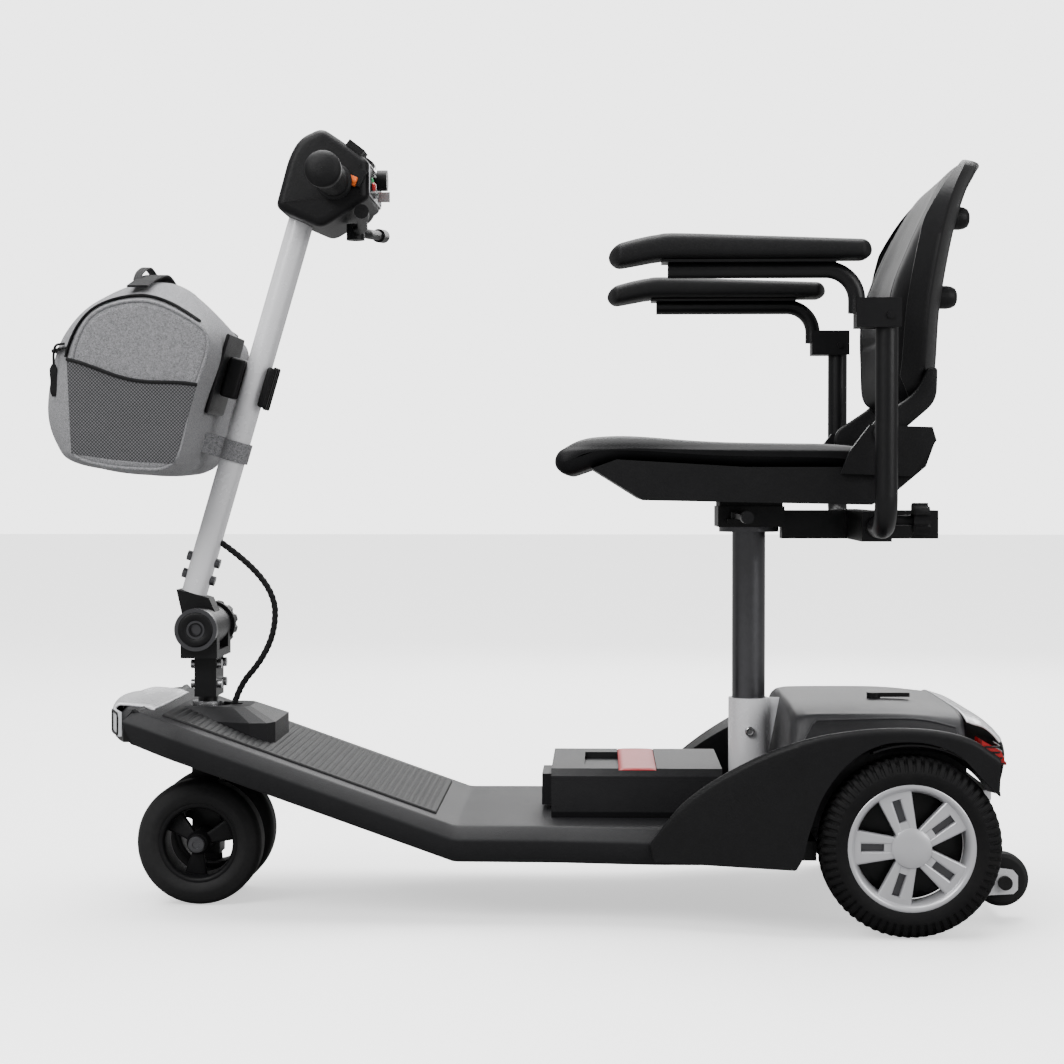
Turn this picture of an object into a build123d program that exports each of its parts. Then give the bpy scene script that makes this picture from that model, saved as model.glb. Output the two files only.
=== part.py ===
from build123d import *
import os
from math import cos, pi, radians, sin, sqrt, tan

# Four-wheel class mobility scooter with a close-set pair of front wheels.
# Millimetres. The scooter faces -X, +Z is up, z = 0 is the floor, y = 0 is the middle.
# The left side of the scooter is -Y.

# ---------------------------------------------------------------- driving sizes
REAR_WHEEL_DIA = 203.0
FRONT_WHEEL_DIA = 150.0
WHEELBASE = 823.3
REAR_AXLE_X = 415.3
SEAT_CUSHION_TOP = 552.0
TILLER_TILT = 16.3
TILLER_TUBE_LENGTH = 484.0
DECK_HEIGHT = 113.0
DECK_SLOPE = 19.5
ARM_PAD_LENGTH = 288.0
WALL = 3.0

# Clearances
RUN = 0.06
GAP = 0.3

# ---------------------------------------------------------------- derived places
REAR_R = REAR_WHEEL_DIA / 2
FRONT_R = FRONT_WHEEL_DIA / 2
STEER_X = REAR_AXLE_X - WHEELBASE
HINGE = Vector(STEER_X - 4.5, 0, 329)
TILT = Vector(sin(radians(TILLER_TILT)), 0, cos(radians(TILLER_TILT)))
TUBE_FOOT = Vector(STEER_X - 16.5, 0, 371)
TUBE_R = 15.5
TILLER = Plane(
    origin=TUBE_FOOT,
    x_dir=(cos(radians(TILLER_TILT)), 0, -sin(radians(TILLER_TILT))),
    z_dir=TILT,
)
POST_X = 251.5
POST_R = 20.0
BEND_X = -95.5
SLOPE = tan(radians(DECK_SLOPE))
NOSE_R = 375.0
NOSE_CENTRE_X = -137.5
FORWARD = (-1, 0, 0)


def deck_top(x):
    """Height of the deck's top face at x."""
    return DECK_HEIGHT + SLOPE * max(0.0, BEND_X - x)


# ---------------------------------------------------------------- small helpers
def block(x0, x1, y0, y1, z0, z1):
    """Box between two corners."""
    middle = Pos((x0 + x1) / 2, (y0 + y1) / 2, (z0 + z1) / 2)
    return middle * Box(x1 - x0, y1 - y0, z1 - z0)


def rod(radius, start, end):
    """Round bar from start to end."""
    a = Vector(*start)
    b = Vector(*end)
    way = b - a
    base = Plane(origin=a, z_dir=way)
    return base * Cylinder(radius, way.length, align=(Align.CENTER, Align.CENTER, Align.MIN))


def rod_y(radius, x, z, y0, y1):
    """Round bar along Y."""
    return rod(radius, (x, y0, z), (x, y1, z))


def side(points, y0, y1):
    """Outline in the X-Z plane made thick along Y."""
    face = make_face(Polyline(*points, close=True))
    return Pos(0, y1, 0) * extrude(Plane.XZ * face, y1 - y0)


def plan(points, z0, z1):
    """Outline in the X-Y plane made thick along Z."""
    face = make_face(Polyline(*points, close=True))
    return Pos(0, 0, z0) * extrude(face, z1 - z0)


def front_view(points, x0, x1):
    """Outline in the Y-Z plane made thick along X."""
    face = make_face(Polyline(*points, close=True))
    return Pos(x0, 0, 0) * extrude(Plane.YZ * face, x1 - x0)


def both(points):
    """Outline given for +Y, with its mirror image added."""
    return list(points) + [(x, -y) for x, y in reversed(points)]


def pipe(points, radius, bend):
    """Round bar along straight runs joined by bends."""
    path = FilletPolyline(*points, radius=bend)
    start = Plane(origin=path @ 0, z_dir=path % 0)
    return sweep(start * Circle(radius), path=path)


def flip(shape):
    """The same piece on the other side of the scooter."""
    return shape.mirror(Plane.XZ)


def around(shape, count, x, z):
    """Copies of a shape turned about a line along Y through (x, z)."""
    turn = Axis((x, 0, z), (0, 1, 0))
    return [shape.rotate(turn, 360 * k / count) for k in range(count)]


def spun(points, x, z):
    """Section in (radius, y) turned about a line along Y through (x, z)."""
    face = make_face(Polyline(*points, close=True))
    return Pos(x, 0, z) * revolve(face, Axis.Y)


def soften(shape, amount, edges=None):
    """Round the edges of a shape."""
    return fillet(edges if edges is not None else shape.edges(), amount)


def save(name, *solids):
    """Write one sub-part."""
    pieces = []
    for solid in solids:
        pieces += list(solid.solids())
    whole = pieces[0] if len(pieces) == 1 else Compound(pieces)
    export_step(whole, f"parts/{name}.step")
    print(name, len(pieces))


os.makedirs("parts", exist_ok=True)


# ================================================================ chassis
# Welded frame: two rails that follow the deck, cross members and the head tube.
RAIL_IN = 60.0
RAIL_OUT = 80.0
RAIL_DROP = 7.0
RAIL_DEEP = 24.0
RAIL_UP_Z = 152.0
RAIL_END_X = 520.0
HEAD_TUBE_R = 22.0
HEAD_BORE = 17.0

rail_top = [
    (-445, deck_top(-445) - RAIL_DROP),
    (BEND_X, DECK_HEIGHT - RAIL_DROP),
    (283, DECK_HEIGHT - RAIL_DROP),
    (330, RAIL_UP_Z),
    (RAIL_END_X, RAIL_UP_Z),
]
rail_outline = rail_top + [(x, z - RAIL_DEEP) for x, z in reversed(rail_top)]
rail = side(rail_outline, RAIL_IN, RAIL_OUT)
head_web = side(
    [
        (-445, deck_top(-445) - 9),
        (-372, deck_top(-372) - 9),
        (-372, deck_top(-372) - 29),
        (-445, deck_top(-445) - 29),
    ],
    -RAIL_IN,
    RAIL_IN,
)
head_tube = rod(HEAD_TUBE_R, (STEER_X, 0, 182), (STEER_X, 0, 229))
head_bore = rod(HEAD_BORE, (STEER_X, 0, 150), (STEER_X, 0, 240))
LEVEL_TOP = DECK_HEIGHT - RAIL_DROP
cross_middle = block(-30, -10, -RAIL_IN, RAIL_IN, 84, LEVEL_TOP)
cross_post = block(222, 281, -RAIL_IN, RAIL_IN, 84, 104)
post_relief = rod(POST_R + 1, (POST_X, 0, 70), (POST_X, 0, 110))
rear_beam = block(496, RAIL_END_X, -133, 133, 128, RAIL_UP_Z)
lug = block(297, 316, RAIL_IN, 184, 78, 100) + block(297, 316, RAIL_IN, RAIL_OUT, 78, 116)
main_frame = rail + flip(rail) + head_web + head_tube + cross_middle + cross_post
main_frame = main_frame + rear_beam + lug + flip(lug) - head_bore - post_relief
save("main_frame", main_frame)


def deck_form(inset, drop, floor):
    """Deck body as a run of six-sided sections, made smaller by inset and lowered by drop."""
    stations = [(-560, 160, 176), (BEND_X, 160, 176), (20, 162, 178), (127, 176, 190), (284, 176, 190)]
    wires = []
    for x, top, crease in stations:
        rise = SLOPE * (BEND_X - x) if x < BEND_X else 0
        z_top = DECK_HEIGHT + rise - drop
        z_crease = 97 + rise
        z_low = 71 + rise * 0.99 - floor
        outline = [
            (top - inset, z_top),
            (crease - inset, z_crease),
            (165 - inset, z_low),
            (-165 + inset, z_low),
            (-crease + inset, z_crease),
            (-top + inset, z_top),
        ]
        wires.append(Pos(x, 0, 0) * (Plane.YZ * make_face(Polyline(*outline, close=True))))
    parts = [loft([wires[i], wires[i + 1]], ruled=True) for i in range(len(wires) - 1)]
    whole = parts[0] + parts[1] + parts[2] + parts[3]
    return whole


def nose_form(radius):
    """Everything behind the round front of the deck."""
    disc = rod(radius, (NOSE_CENTRE_X, 0, 0), (NOSE_CENTRE_X, 0, 400))
    rest = block(NOSE_CENTRE_X, 600, -300, 300, 0, 400)
    return disc + rest


deck_outer = deck_form(0, 0, 0) & nose_form(NOSE_R)
deck_inner = deck_form(WALL, WALL, 30) & nose_form(NOSE_R - WALL)
rear_open = block(270, 300, -173, 173, 60, DECK_HEIGHT - WALL)
column_hole = rod(31, (STEER_X, 0, 150), (STEER_X, 0, 260))
sleeve_hole = rod(24.25 + GAP, (POST_X, 0, 60), (POST_X, 0, 150))
# Shallow drip groove between the footboard and the battery bay.
bay_groove = block(0.2, 1.8, -175, 175, DECK_HEIGHT - 1.2, DECK_HEIGHT + 5)
deck_pan = deck_outer - deck_inner - rear_open - column_hole - sleeve_hole - bay_groove
save("deck_pan", deck_pan)

# Column cover: wedge-shaped hump round the steering shaft.
COVER_TOP_Z = 235.0
RIDGE_Z = 219.0
cover_plan = both([(-452, 30), (-345, 75), (-325, 72), (-317, 56)])
ridge_plan = both([(-452, 28), (-345, 72), (-325, 69), (-317, 54)])
top_plan = both([(-448, 26), (-372, 40), (-358, 36), (-352, 26)])
above_deck = side(
    [(-470, deck_top(-470) + 0.05), (BEND_X, DECK_HEIGHT + 0.05), (BEND_X, 400), (-470, 400)], -90, 90
)
lower_part = plan(cover_plan, 150, RIDGE_Z)
upper_part = loft(
    [
        Pos(0, 0, RIDGE_Z) * make_face(Polyline(*cover_plan, close=True)),
        Pos(0, 0, COVER_TOP_Z) * make_face(Polyline(*top_plan, close=True)),
    ],
    ruled=True,
)
inside_plan = both([(-440, 28), (-346, 71), (-327, 68), (-320.5, 52)])
cover_inside = plan(inside_plan, 140, RIDGE_Z - WALL)
neck_hole = rod(31, (STEER_X, 0, 200), (STEER_X, 0, 250))
harness_slot = block(STEER_X, -366, -9, 9, 205, 250)
column_cover = ((lower_part + upper_part) & above_deck) - cover_inside - neck_hole - harness_slot
save("column_cover", column_cover)

# Ribbed rubber mat on the slope, cut out round the column cover.
MAT_THICK = 3.0
MAT_FRONT = -437.5
MAT_REAR = -117.5
mat_body = side(
    [
        (MAT_FRONT, deck_top(MAT_FRONT) + 0.05),
        (MAT_REAR, deck_top(MAT_REAR) + 0.05),
        (MAT_REAR, deck_top(MAT_REAR) + MAT_THICK),
        (MAT_FRONT, deck_top(MAT_FRONT) + MAT_THICK),
    ],
    -135,
    135,
)
RIB_PITCH = 7.0
groove_count = int((MAT_REAR - MAT_FRONT - 14) / RIB_PITCH)
grooves = []
for k in range(groove_count):
    x = MAT_FRONT + 10 + k * RIB_PITCH
    z = deck_top(x)
    grooves.append(block(x - 1.3, x + 1.3, -129, 129, z + MAT_THICK - 1.2, z + MAT_THICK + 3))
mat_cut = plan(both([(-470, 36), (-345, 80), (-322, 76), (-312, 60)]), 100, 300)
deck_mat = mat_body - mat_cut - grooves
save("deck_mat", deck_mat)


# Nose cap and headlamps: a skin over the round front of the deck.
def nose_skin(low, high):
    """Skin wrapped over the front of the deck between two heights."""
    outer = (Pos(0, 0, 4) * deck_form(0, 0, 0)) & nose_form(NOSE_R + 4)
    core = (Pos(0, 0, 0.3) * deck_form(0, 0, 0)) & nose_form(NOSE_R + 0.3)
    window = block(-560, -456, -164, 164, low, high)
    return (outer - core) & window


cap_zone = block(-560, -456, -104, 104, 214, 260)
nose_cap = nose_skin(214, 262) & cap_zone
save("nose_cap", nose_cap)
lamp_skin = nose_skin(212, 240)
lamp_left = lamp_skin & block(-540, -462, -152, -104.4, 212, 240)
lamp_right = lamp_skin & block(-540, -462, 104.4, 152, 212, 240)
save("headlamps", lamp_left, lamp_right)

# Fenders: an inverted channel over each rear wheel, with a side panel running forward.
FENDER_IN = 186.0
FENDER_OUT = 242.0
fender_top = [
    (127.5, 97),
    (160.5, 139),
    (197.5, 168),
    (235, 192),
    (272, 211),
    (309, 222),
    (353.5, 230),
    (398.5, 233),
    (443, 229),
    (480, 218),
    (512, 199),
]
fender_arch = [
    (509.5, 158),
    (493.5, 176),
    (468.5, 203),
    (440, 216),
    (410, 219),
    (377.5, 215),
    (345.5, 196),
    (318, 160),
    (303, 120),
    (293.5, 76.5),
]
fender_full = side(fender_top + fender_arch + [(127.5, 76.5)], FENDER_IN, FENDER_OUT)
fender_plan = plan(
    [(120, FENDER_IN), (120, 191), (290, FENDER_OUT), (530, FENDER_OUT), (530, FENDER_IN)], 0, 300
)
under_top = [(x, z - WALL - 1.5) for x, z in fender_top[1:]]
hollow = side([(175, 60)] + under_top[1:] + [(512, 60)], FENDER_IN, FENDER_OUT)
hollow_plan = plan([(150, 189), (150, 196), (290, 239), (530, 239), (530, 189)], 0, 300)
deck_side = deck_form(-GAP, -GAP, 1)
lamp_pocket = block(491, 540, 180, 236.3, 190, 240)
lug_relief = block(290, 320, 180, 192, 70, 105)
fender = (fender_full & fender_plan) - (hollow & hollow_plan) - deck_side - lamp_pocket - lug_relief
fender_right = max(fender.solids(), key=lambda s: s.volume)
save("fender_right", fender_right)
save("fender_left", flip(fender_right))


def cover_section(x, low, shoulder, edge, crown, inset):
    """One section of the rear cover, from its side foot over the top."""
    wide = 185.7 - inset
    outline = [
        (wide, low),
        (wide, shoulder - inset * 0.4),
        (150 - inset * 0.6, edge - inset),
        (90 - inset * 0.5, crown - inset),
    ]
    outline = outline + [(-y, z) for y, z in reversed(outline)]
    return Pos(x, 0, 0) * (Plane.YZ * make_face(Polyline(*outline, close=True)))


# Rear cover over the drive.
REAR_STATIONS = [(281, 150, 176, 205), (296, 205, 238, 246), (402, 212, 242, 250), (484.7, 208, 236, 244)]
outer_wires = [cover_section(x, DECK_HEIGHT + 3, s, e, c, 0) for x, s, e, c in REAR_STATIONS]
inner_wires = [cover_section(x + d, 100, s, e, c, WALL) for (x, s, e, c), d in zip(REAR_STATIONS, (3, 3, 0, 5))]


def run_loft(wires):
    """Straight-sided body through a row of sections."""
    whole = loft([wires[0], wires[1]], ruled=True)
    for a, b in zip(wires[1:-1], wires[2:]):
        whole = whole + loft([a, b], ruled=True)
    return whole


LEVER_X = 395.0
LEVER_Y = -60.0
COVER_CROWN = 250.0
lever_hole = rod(4.5, (LEVER_X, LEVER_Y, 200), (LEVER_X, LEVER_Y, 300))
sleeve_notch = rod(25.2, (POST_X, 0, 100), (POST_X, 0, 260))
gusset_notch = block(270, 291.5, -3, 3, 165, 260)
rear_cover = run_loft(outer_wires) - run_loft(inner_wires) - lever_hole - sleeve_notch - gusset_notch
rear_cover = max(rear_cover.solids(), key=lambda s: s.volume)
save("rear_cover", rear_cover)

# Rear panel closes the back of the cover.
panel_outer = [(485, 244), (508, 236), (533.5, 213), (536, 190), (526, 156)]
panel_outline = panel_outer + [(523, 156), (532.5, 190), (530, 211), (506, 232.5), (485, 240.5)]
panel_skin = side(panel_outline, -178, 178)
panel_ends = side(panel_outer + [(485, 176)], 175, 178)
rear_panel = panel_skin + panel_ends + flip(panel_ends)
save("rear_panel", rear_panel)

# Tail lamps at the rear corners.
lamp_outline = [(492, 221), (513, 209), (519, 194), (492, 194)]
tail_lamp = side(lamp_outline, 190, 236)
lamp_back = block(492, 505, 178.3, 190, 196, 210)
tail_lamp = tail_lamp + lamp_back
save("tail_lamps", tail_lamp, flip(tail_lamp))

# Drive: gearbox with its axle tube, motor, and controller box.
AXLE_R = 8.0
axle_tube = rod_y(20, REAR_AXLE_X, REAR_R, -150, 150)
gearbox = rod_y(47, REAR_AXLE_X, REAR_R, -22, 42)
saddle = block(397, 433, RAIL_IN, RAIL_OUT, 108, 128)
half_shaft = rod_y(AXLE_R, REAR_AXLE_X, REAR_R, -229, 229)
motor = rod(33, (REAR_AXLE_X - 115, 10, REAR_R), (REAR_AXLE_X - 44, 10, REAR_R))
transaxle = axle_tube + gearbox + saddle + flip(saddle) + half_shaft
motor = motor - transaxle
motor = max(motor.solids(), key=lambda s: s.volume)
controller = block(330, 400, -85, 85, RAIL_UP_Z, 182)
save("drive_unit", transaxle, motor, controller)

# Seat post sleeve with its rear gusset.
SLEEVE_R = 24.25
sleeve = rod(SLEEVE_R, (POST_X, 0, 104), (POST_X, 0, 245))
gusset = side([(270, 245), (289, 245), (274, 168), (270, 168)], -2, 2)
sleeve = sleeve + gusset - rod(POST_R + 0.05, (POST_X, 0, 100), (POST_X, 0, 250))
save("post_sleeve", sleeve)

# Anti-tip brackets and their wheels.
ANTI_X = 536.0
ANTI_Z = 46.0
ANTI_R = 31.5
bracket_outline = [(484, 152), (520, 152), (520, 142), (506, 124), (506, 66), (546, 60), (551, 54), (551, 38), (546, 33), (496, 30), (484, 50)]
bracket = side(bracket_outline, 133, 138)
bracket = bracket - rod_y(4 + RUN, ANTI_X, ANTI_Z, 120, 150)
save("anti_tip_brackets", bracket, flip(bracket))
anti_section = [(4, 96), (10, 96), (12, 99), (26, 99), (30, 101), (ANTI_R, 105)]
anti_section = anti_section + [(r, 220 - y) for r, y in reversed(anti_section)]
anti_wheel = spun(anti_section, ANTI_X, ANTI_Z)
anti_axle = rod_y(4, ANTI_X, ANTI_Z, -142, 142)
anti_head = rod_y(8, ANTI_X, ANTI_Z, 138.3, 144)
anti_pin = anti_axle + anti_head + flip(anti_head)
save("anti_tip_wheels", anti_wheel, flip(anti_wheel), anti_pin - anti_wheel - flip(anti_wheel))

# Fixings seen from outside: sleeve bolts and fender screws.
bolt_side = rod_y(5.5, POST_X, 206, SLEEVE_R, SLEEVE_R + 4)
bolt_side = bolt_side - rod(SLEEVE_R, (POST_X, 0, 190), (POST_X, 0, 220))
bolts = [bolt_side, flip(bolt_side)]
for x in (330, 440):
    screw = rod_y(5, x, 140, 183.0 - 3, 182.7)
    bolts += [screw, flip(screw)]
save("chassis_screws", *bolts)

# Freewheel lever on top of the rear cover.
lever_stem = rod(4, (LEVER_X, LEVER_Y, 226), (LEVER_X, LEVER_Y, 252))
lever_hub = rod(8, (LEVER_X, LEVER_Y, COVER_CROWN + GAP), (LEVER_X, LEVER_Y, 257))
lever_arm = block(LEVER_X, LEVER_X + 42, LEVER_Y - 5, LEVER_Y + 5, 252, 257)
save("freewheel_lever", lever_stem + lever_hub + lever_arm)

# ================================================================ battery
BAT_X0 = 14.5
BAT_X1 = 214.5
BAT_Y = 105.0
BAT_Z = DECK_HEIGHT + 0.05
LID_Z = DECK_HEIGHT + 45
case_outline = [(BAT_Y - 3, BAT_Z), (BAT_Y, BAT_Z + 7), (BAT_Y, LID_Z - 0.1)]
case_outline = case_outline + [(-y, z) for y, z in reversed(case_outline)]
battery_case = front_view(case_outline, BAT_X0, BAT_X1)
latch = block(2, BAT_X0, -40, 40, DECK_HEIGHT + 6, LID_Z - 2)
battery_case = battery_case + latch
save("battery_case", battery_case)
lid_outline = [(BAT_Y, LID_Z), (BAT_Y, LID_Z + 4), (BAT_Y - 9, LID_Z + 12)]
lid_outline = lid_outline + [(-y, z) for y, z in reversed(lid_outline)]
battery_lid = front_view(lid_outline, BAT_X0, BAT_X1)
finger_recess = block(53, 126, -60, 60, LID_Z + 4, LID_Z + 17)
band_seat = block(93, 138, -98.2, 98.2, LID_Z + 9, LID_Z + 17)
battery_lid = battery_lid - finger_recess - band_seat
save("battery_lid", battery_lid)
save("battery_handle", block(93.2, 137.8, -98, 98, LID_Z + 9.05, LID_Z + 12.5))

# ================================================================ steering
SHAFT_R = 12.0
CROWN_Z = 181.7
shaft = rod(SHAFT_R, (STEER_X, 0, 160), (STEER_X, 0, 262))
crown = rod(21, (STEER_X, 0, 172), (STEER_X, 0, CROWN_Z))
leg = block(STEER_X - 17, STEER_X + 17, -18, 18, 54, 172)
AXLE_FRONT_R = 6.0
fork = shaft + crown + leg - rod_y(AXLE_FRONT_R, STEER_X, FRONT_R, -30, 30)
save("steering_fork", fork)


def collar(outer, inner, z0, z1):
    """Ring round the steering shaft."""
    return rod(outer, (STEER_X, 0, z0), (STEER_X, 0, z1)) - rod(inner, (STEER_X, 0, z0), (STEER_X, 0, z1))


bearing_low = collar(HEAD_BORE - 0.05, SHAFT_R, 183, 193)
bearing_high = collar(HEAD_BORE - 0.05, SHAFT_R, 218, 228)
locknut = collar(19, SHAFT_R, 232, 239)
front_axle = rod_y(AXLE_FRONT_R, STEER_X, FRONT_R, -79, 79)
axle_nut = rod_y(10, STEER_X, FRONT_R, 74.3, 80) - rod_y(AXLE_FRONT_R, STEER_X, FRONT_R, 70, 79)
clamp_bolts = []
for z in (261, 285):
    for y in (-16, 16):
        clamp_bolts.append(rod(5.5, (STEER_X + 14.5, y, z), (STEER_X + 20, y, z)))
        clamp_bolts.append(rod(5.5, (STEER_X - 12 - 5.5, y, z), (STEER_X - 12, y, z)))
save(
    "column_hardware",
    bearing_low,
    bearing_high,
    locknut,
    front_axle,
    axle_nut,
    flip(axle_nut),
    *clamp_bolts,
)

# Lower half of the tiller hinge: clamp block, yoke base and two lugs.
LUG_IN = 30.0
LUG_OUT = 48.0
DRUM_R = 25.0
PIN_R = 6.0
clamp = block(STEER_X - 12, STEER_X + 14.5, -26, 26, 246, 297)
clamp = clamp - rod(SHAFT_R, (STEER_X, 0, 240), (STEER_X, 0, 262))
yoke = block(HINGE.X - 20, HINGE.X + 24, -LUG_OUT, LUG_OUT, 294, 303.4)
lug_disc = rod_y(DRUM_R, HINGE.X, HINGE.Z, LUG_IN, LUG_OUT)
lug_foot = block(HINGE.X - 20, HINGE.X + 24, LUG_IN, LUG_OUT, 294, HINGE.Z)
lugs = (lug_disc + lug_foot) + flip(lug_disc + lug_foot)
pin_hole = rod_y(PIN_R + RUN, HINGE.X, HINGE.Z, -60, 60)
save("hinge_lower", clamp + yoke + lugs - pin_hole)

# Wiring harness from the tiller tube down into the column cover.
HARNESS_ROUTE = [
    (-395.1, 0, 434.6),
    (-359.1, 0, 409.8),
    (-325.5, 0, 367.6),
    (-325.5, 0, 325.4),
    (-342.0, 0, 288.0),
    (-372.0, 0, 254.0),
    (-379.0, 0, 222.0),
]
HARNESS_R = 4.0
harness_radii = []
for k in range(1, len(HARNESS_ROUTE) - 1):
    a, b, c = (Vector(*HARNESS_ROUTE[k + d]) for d in (-1, 0, 1))
    turn = (b - a).get_angle(c - b)
    shorter = min((b - a).length, (c - b).length)
    harness_radii.append(0.45 * shorter / tan(radians(turn / 2)))
print("harness bend radii", [round(r, 1) for r in harness_radii])


def cord_path(points, radii):
    """Straight runs joined by tangent arcs, one radius for each corner."""
    edges = []
    last = Vector(*points[0])
    for k, radius in enumerate(radii, start=1):
        a, b, c = (Vector(*points[k + d]) for d in (-1, 0, 1))
        before = (a - b).normalized()
        after = (c - b).normalized()
        half = radians((b - a).get_angle(c - b)) / 2
        cut = radius * tan(half)
        enter = b + before * cut
        leave = b + after * cut
        bisector = (before + after).normalized()
        centre = b + bisector * (radius / cos(half))
        middle = centre - bisector * radius
        edges.append(Edge.make_line(last, enter))
        edges.append(Edge.make_three_point_arc(enter, middle, leave))
        last = leave
    edges.append(Edge.make_line(last, Vector(*points[-1])))
    return Wire(edges)


harness_wire = cord_path(HARNESS_ROUTE, harness_radii)
harness_start = Plane(origin=harness_wire @ 0, z_dir=harness_wire % 0)
harness = sweep(harness_start * Circle(HARNESS_R), path=harness_wire)
save("wiring_harness", harness)

# ================================================================ wheels
# Front wheels: a close-set pair on one axle.
FRONT_IN = 22.0
FRONT_OUT = 74.0
FRONT_RIM_R = 46.0
front_tyre = [
    (FRONT_RIM_R, FRONT_IN + 6),
    (58, FRONT_IN),
    (68, FRONT_IN + 2),
    (73.5, FRONT_IN + 9),
    (FRONT_R, FRONT_IN + 18),
]
middle = FRONT_IN + FRONT_OUT
front_tyre = front_tyre + [(r, middle - y) for r, y in reversed(front_tyre)]
tyre = spun(front_tyre, STEER_X, FRONT_R)
save("front_tyre_right", tyre)
save("front_tyre_left", flip(tyre))
rim_barrel = spun(
    [(40, FRONT_IN + 6), (FRONT_RIM_R, FRONT_IN + 6), (FRONT_RIM_R, FRONT_OUT - 6), (40, FRONT_OUT - 6)],
    STEER_X,
    FRONT_R,
)
rim_web = spun([(10, 44), (41, 46), (41, 56), (10, 58)], STEER_X, FRONT_R)
rim_hub = spun([(AXLE_FRONT_R + RUN, FRONT_IN), (14, FRONT_IN), (14, 74), (AXLE_FRONT_R + RUN, 74)], STEER_X, FRONT_R)
window_points = [(17, -8), (38, -14), (38, 14), (17, 8)]
window = Pos(STEER_X, 80, FRONT_R) * extrude(
    Plane.XZ * make_face(Polyline(*window_points, close=True)), 50
)
windows = around(window, 3, STEER_X, FRONT_R) + around(
    window.rotate(Axis((STEER_X, 0, FRONT_R), (0, 1, 0)), 60), 3, STEER_X, FRONT_R
)
front_rim = rim_barrel + (rim_web - windows) + rim_hub
save("front_rim_right", front_rim)
save("front_rim_left", flip(front_rim))

# Rear wheels.
REAR_IN = 192.0
REAR_OUT = 243.0
REAR_RIM_R = 68.6
rear_tyre = [
    (REAR_RIM_R, REAR_IN + 8),
    (78, REAR_IN + 2),
    (90, REAR_IN),
    (98, REAR_IN + 4),
    (REAR_R, REAR_IN + 12),
]
rear_middle = REAR_IN + REAR_OUT
rear_tyre = rear_tyre + [(r, rear_middle - y) for r, y in reversed(rear_tyre)]
tyre = spun(rear_tyre, REAR_AXLE_X, REAR_R)
save("rear_tyre_right", tyre)
save("rear_tyre_left", flip(tyre))
rim_barrel = spun(
    [(62, REAR_IN + 8), (REAR_RIM_R, REAR_IN + 8), (REAR_RIM_R, REAR_OUT - 8), (62, REAR_OUT - 8)],
    REAR_AXLE_X,
    REAR_R,
)
rim_web = spun([(15, 224), (63, 222), (63, 232), (15, 236)], REAR_AXLE_X, REAR_R)
hub_inner = spun([(AXLE_R + RUN, 189), (18, 189), (18, 236), (AXLE_R + RUN, 236)], REAR_AXLE_X, REAR_R)
hub_cap = spun([(0, 236), (20, 236), (20, 239), (14, 241), (0, 241.5)], REAR_AXLE_X, REAR_R)
window_points = [(25, -6.5), (58, -15), (58, 15), (25, 6.5)]
window = Pos(REAR_AXLE_X, 250, REAR_R) * extrude(
    Plane.XZ * make_face(Polyline(*window_points, close=True)), 40
)
windows = around(window.rotate(Axis((REAR_AXLE_X, 0, REAR_R), (0, 1, 0)), 72), 5, REAR_AXLE_X, REAR_R)
slot = block(REAR_AXLE_X + 30, REAR_AXLE_X + 54, 228, 250, REAR_R - 4.5, REAR_R + 4.5)
slots = around(slot.rotate(Axis((REAR_AXLE_X, 0, REAR_R), (0, 1, 0)), 36), 5, REAR_AXLE_X, REAR_R)
rear_rim = rim_barrel + (rim_web - windows - slots) + hub_inner + hub_cap
save("rear_rim_right", rear_rim)
save("rear_rim_left", flip(rear_rim))

# ================================================================ tiller
# Upper half of the hinge: drum, neck and the plug inside the tube.
drum = rod_y(DRUM_R, HINGE.X, HINGE.Z, -LUG_IN + GAP, LUG_IN - GAP)
neck = side(
    [(HINGE.X - 22, 335), (HINGE.X + 22, 335), (HINGE.X + 8, 366.5), (HINGE.X - 31, 375.5)], -17, 17
)
plug = TILLER * Pos(0, 0, 24) * Cylinder(13.5, 52)
above_foot = TILLER * Pos(0, 0, -40) * Box(80, 60, 80)
neck = neck & above_foot
hinge_upper = drum + neck + plug - rod_y(PIN_R, HINGE.X, HINGE.Z, -40, 40)
save("hinge_upper", hinge_upper)

tiller_tube = TILLER * Pos(0, 0, TILLER_TUBE_LENGTH / 2) * (
    Cylinder(TUBE_R, TILLER_TUBE_LENGTH) - Cylinder(13.5, TILLER_TUBE_LENGTH + 2)
)
cord_way = (Vector(*HARNESS_ROUTE[1]) - Vector(*HARNESS_ROUTE[0])).normalized()
cord_out = Vector(*HARNESS_ROUTE[0])
tiller_tube = tiller_tube - rod(5, cord_out - cord_way * 12, cord_out + cord_way * 20)
save("tiller_tube", tiller_tube)

# Bolts of the tiller: hinge pin, near cap and two cross bolts.
pin = rod_y(PIN_R, HINGE.X, HINGE.Z, -LUG_OUT - 0.1, 60)
near_cap = rod_y(25.7, HINGE.X, HINGE.Z, -LUG_OUT - 10, -LUG_OUT - GAP)
near_cap = near_cap - rod_y(7, HINGE.X, HINGE.Z, -LUG_OUT - 11, -LUG_OUT - 6)
cap_bolt = pin + near_cap
heads = []
for s in (20, 42):
    for way in (-1, 1):
        head = TILLER * Pos(way * (TUBE_R + 1.5), 0, s) * Rot(0, 90, 0) * Cylinder(6, 7)
        heads.append(head - TILLER * Pos(0, 0, s) * Cylinder(TUBE_R, 30))
save("tiller_bolts", cap_bolt, *heads)

# Far knob of the hinge.
knob = rod_y(29, HINGE.X, HINGE.Z, LUG_OUT + GAP, 74)
knob = knob - rod_y(PIN_R + RUN, HINGE.X, HINGE.Z, 40, 61)
flutes = around(rod_y(4.5, HINGE.X + 31, HINGE.Z, 55, 80), 12, HINGE.X, HINGE.Z)
knob = knob - flutes
save("clamp_knob", knob)

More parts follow.
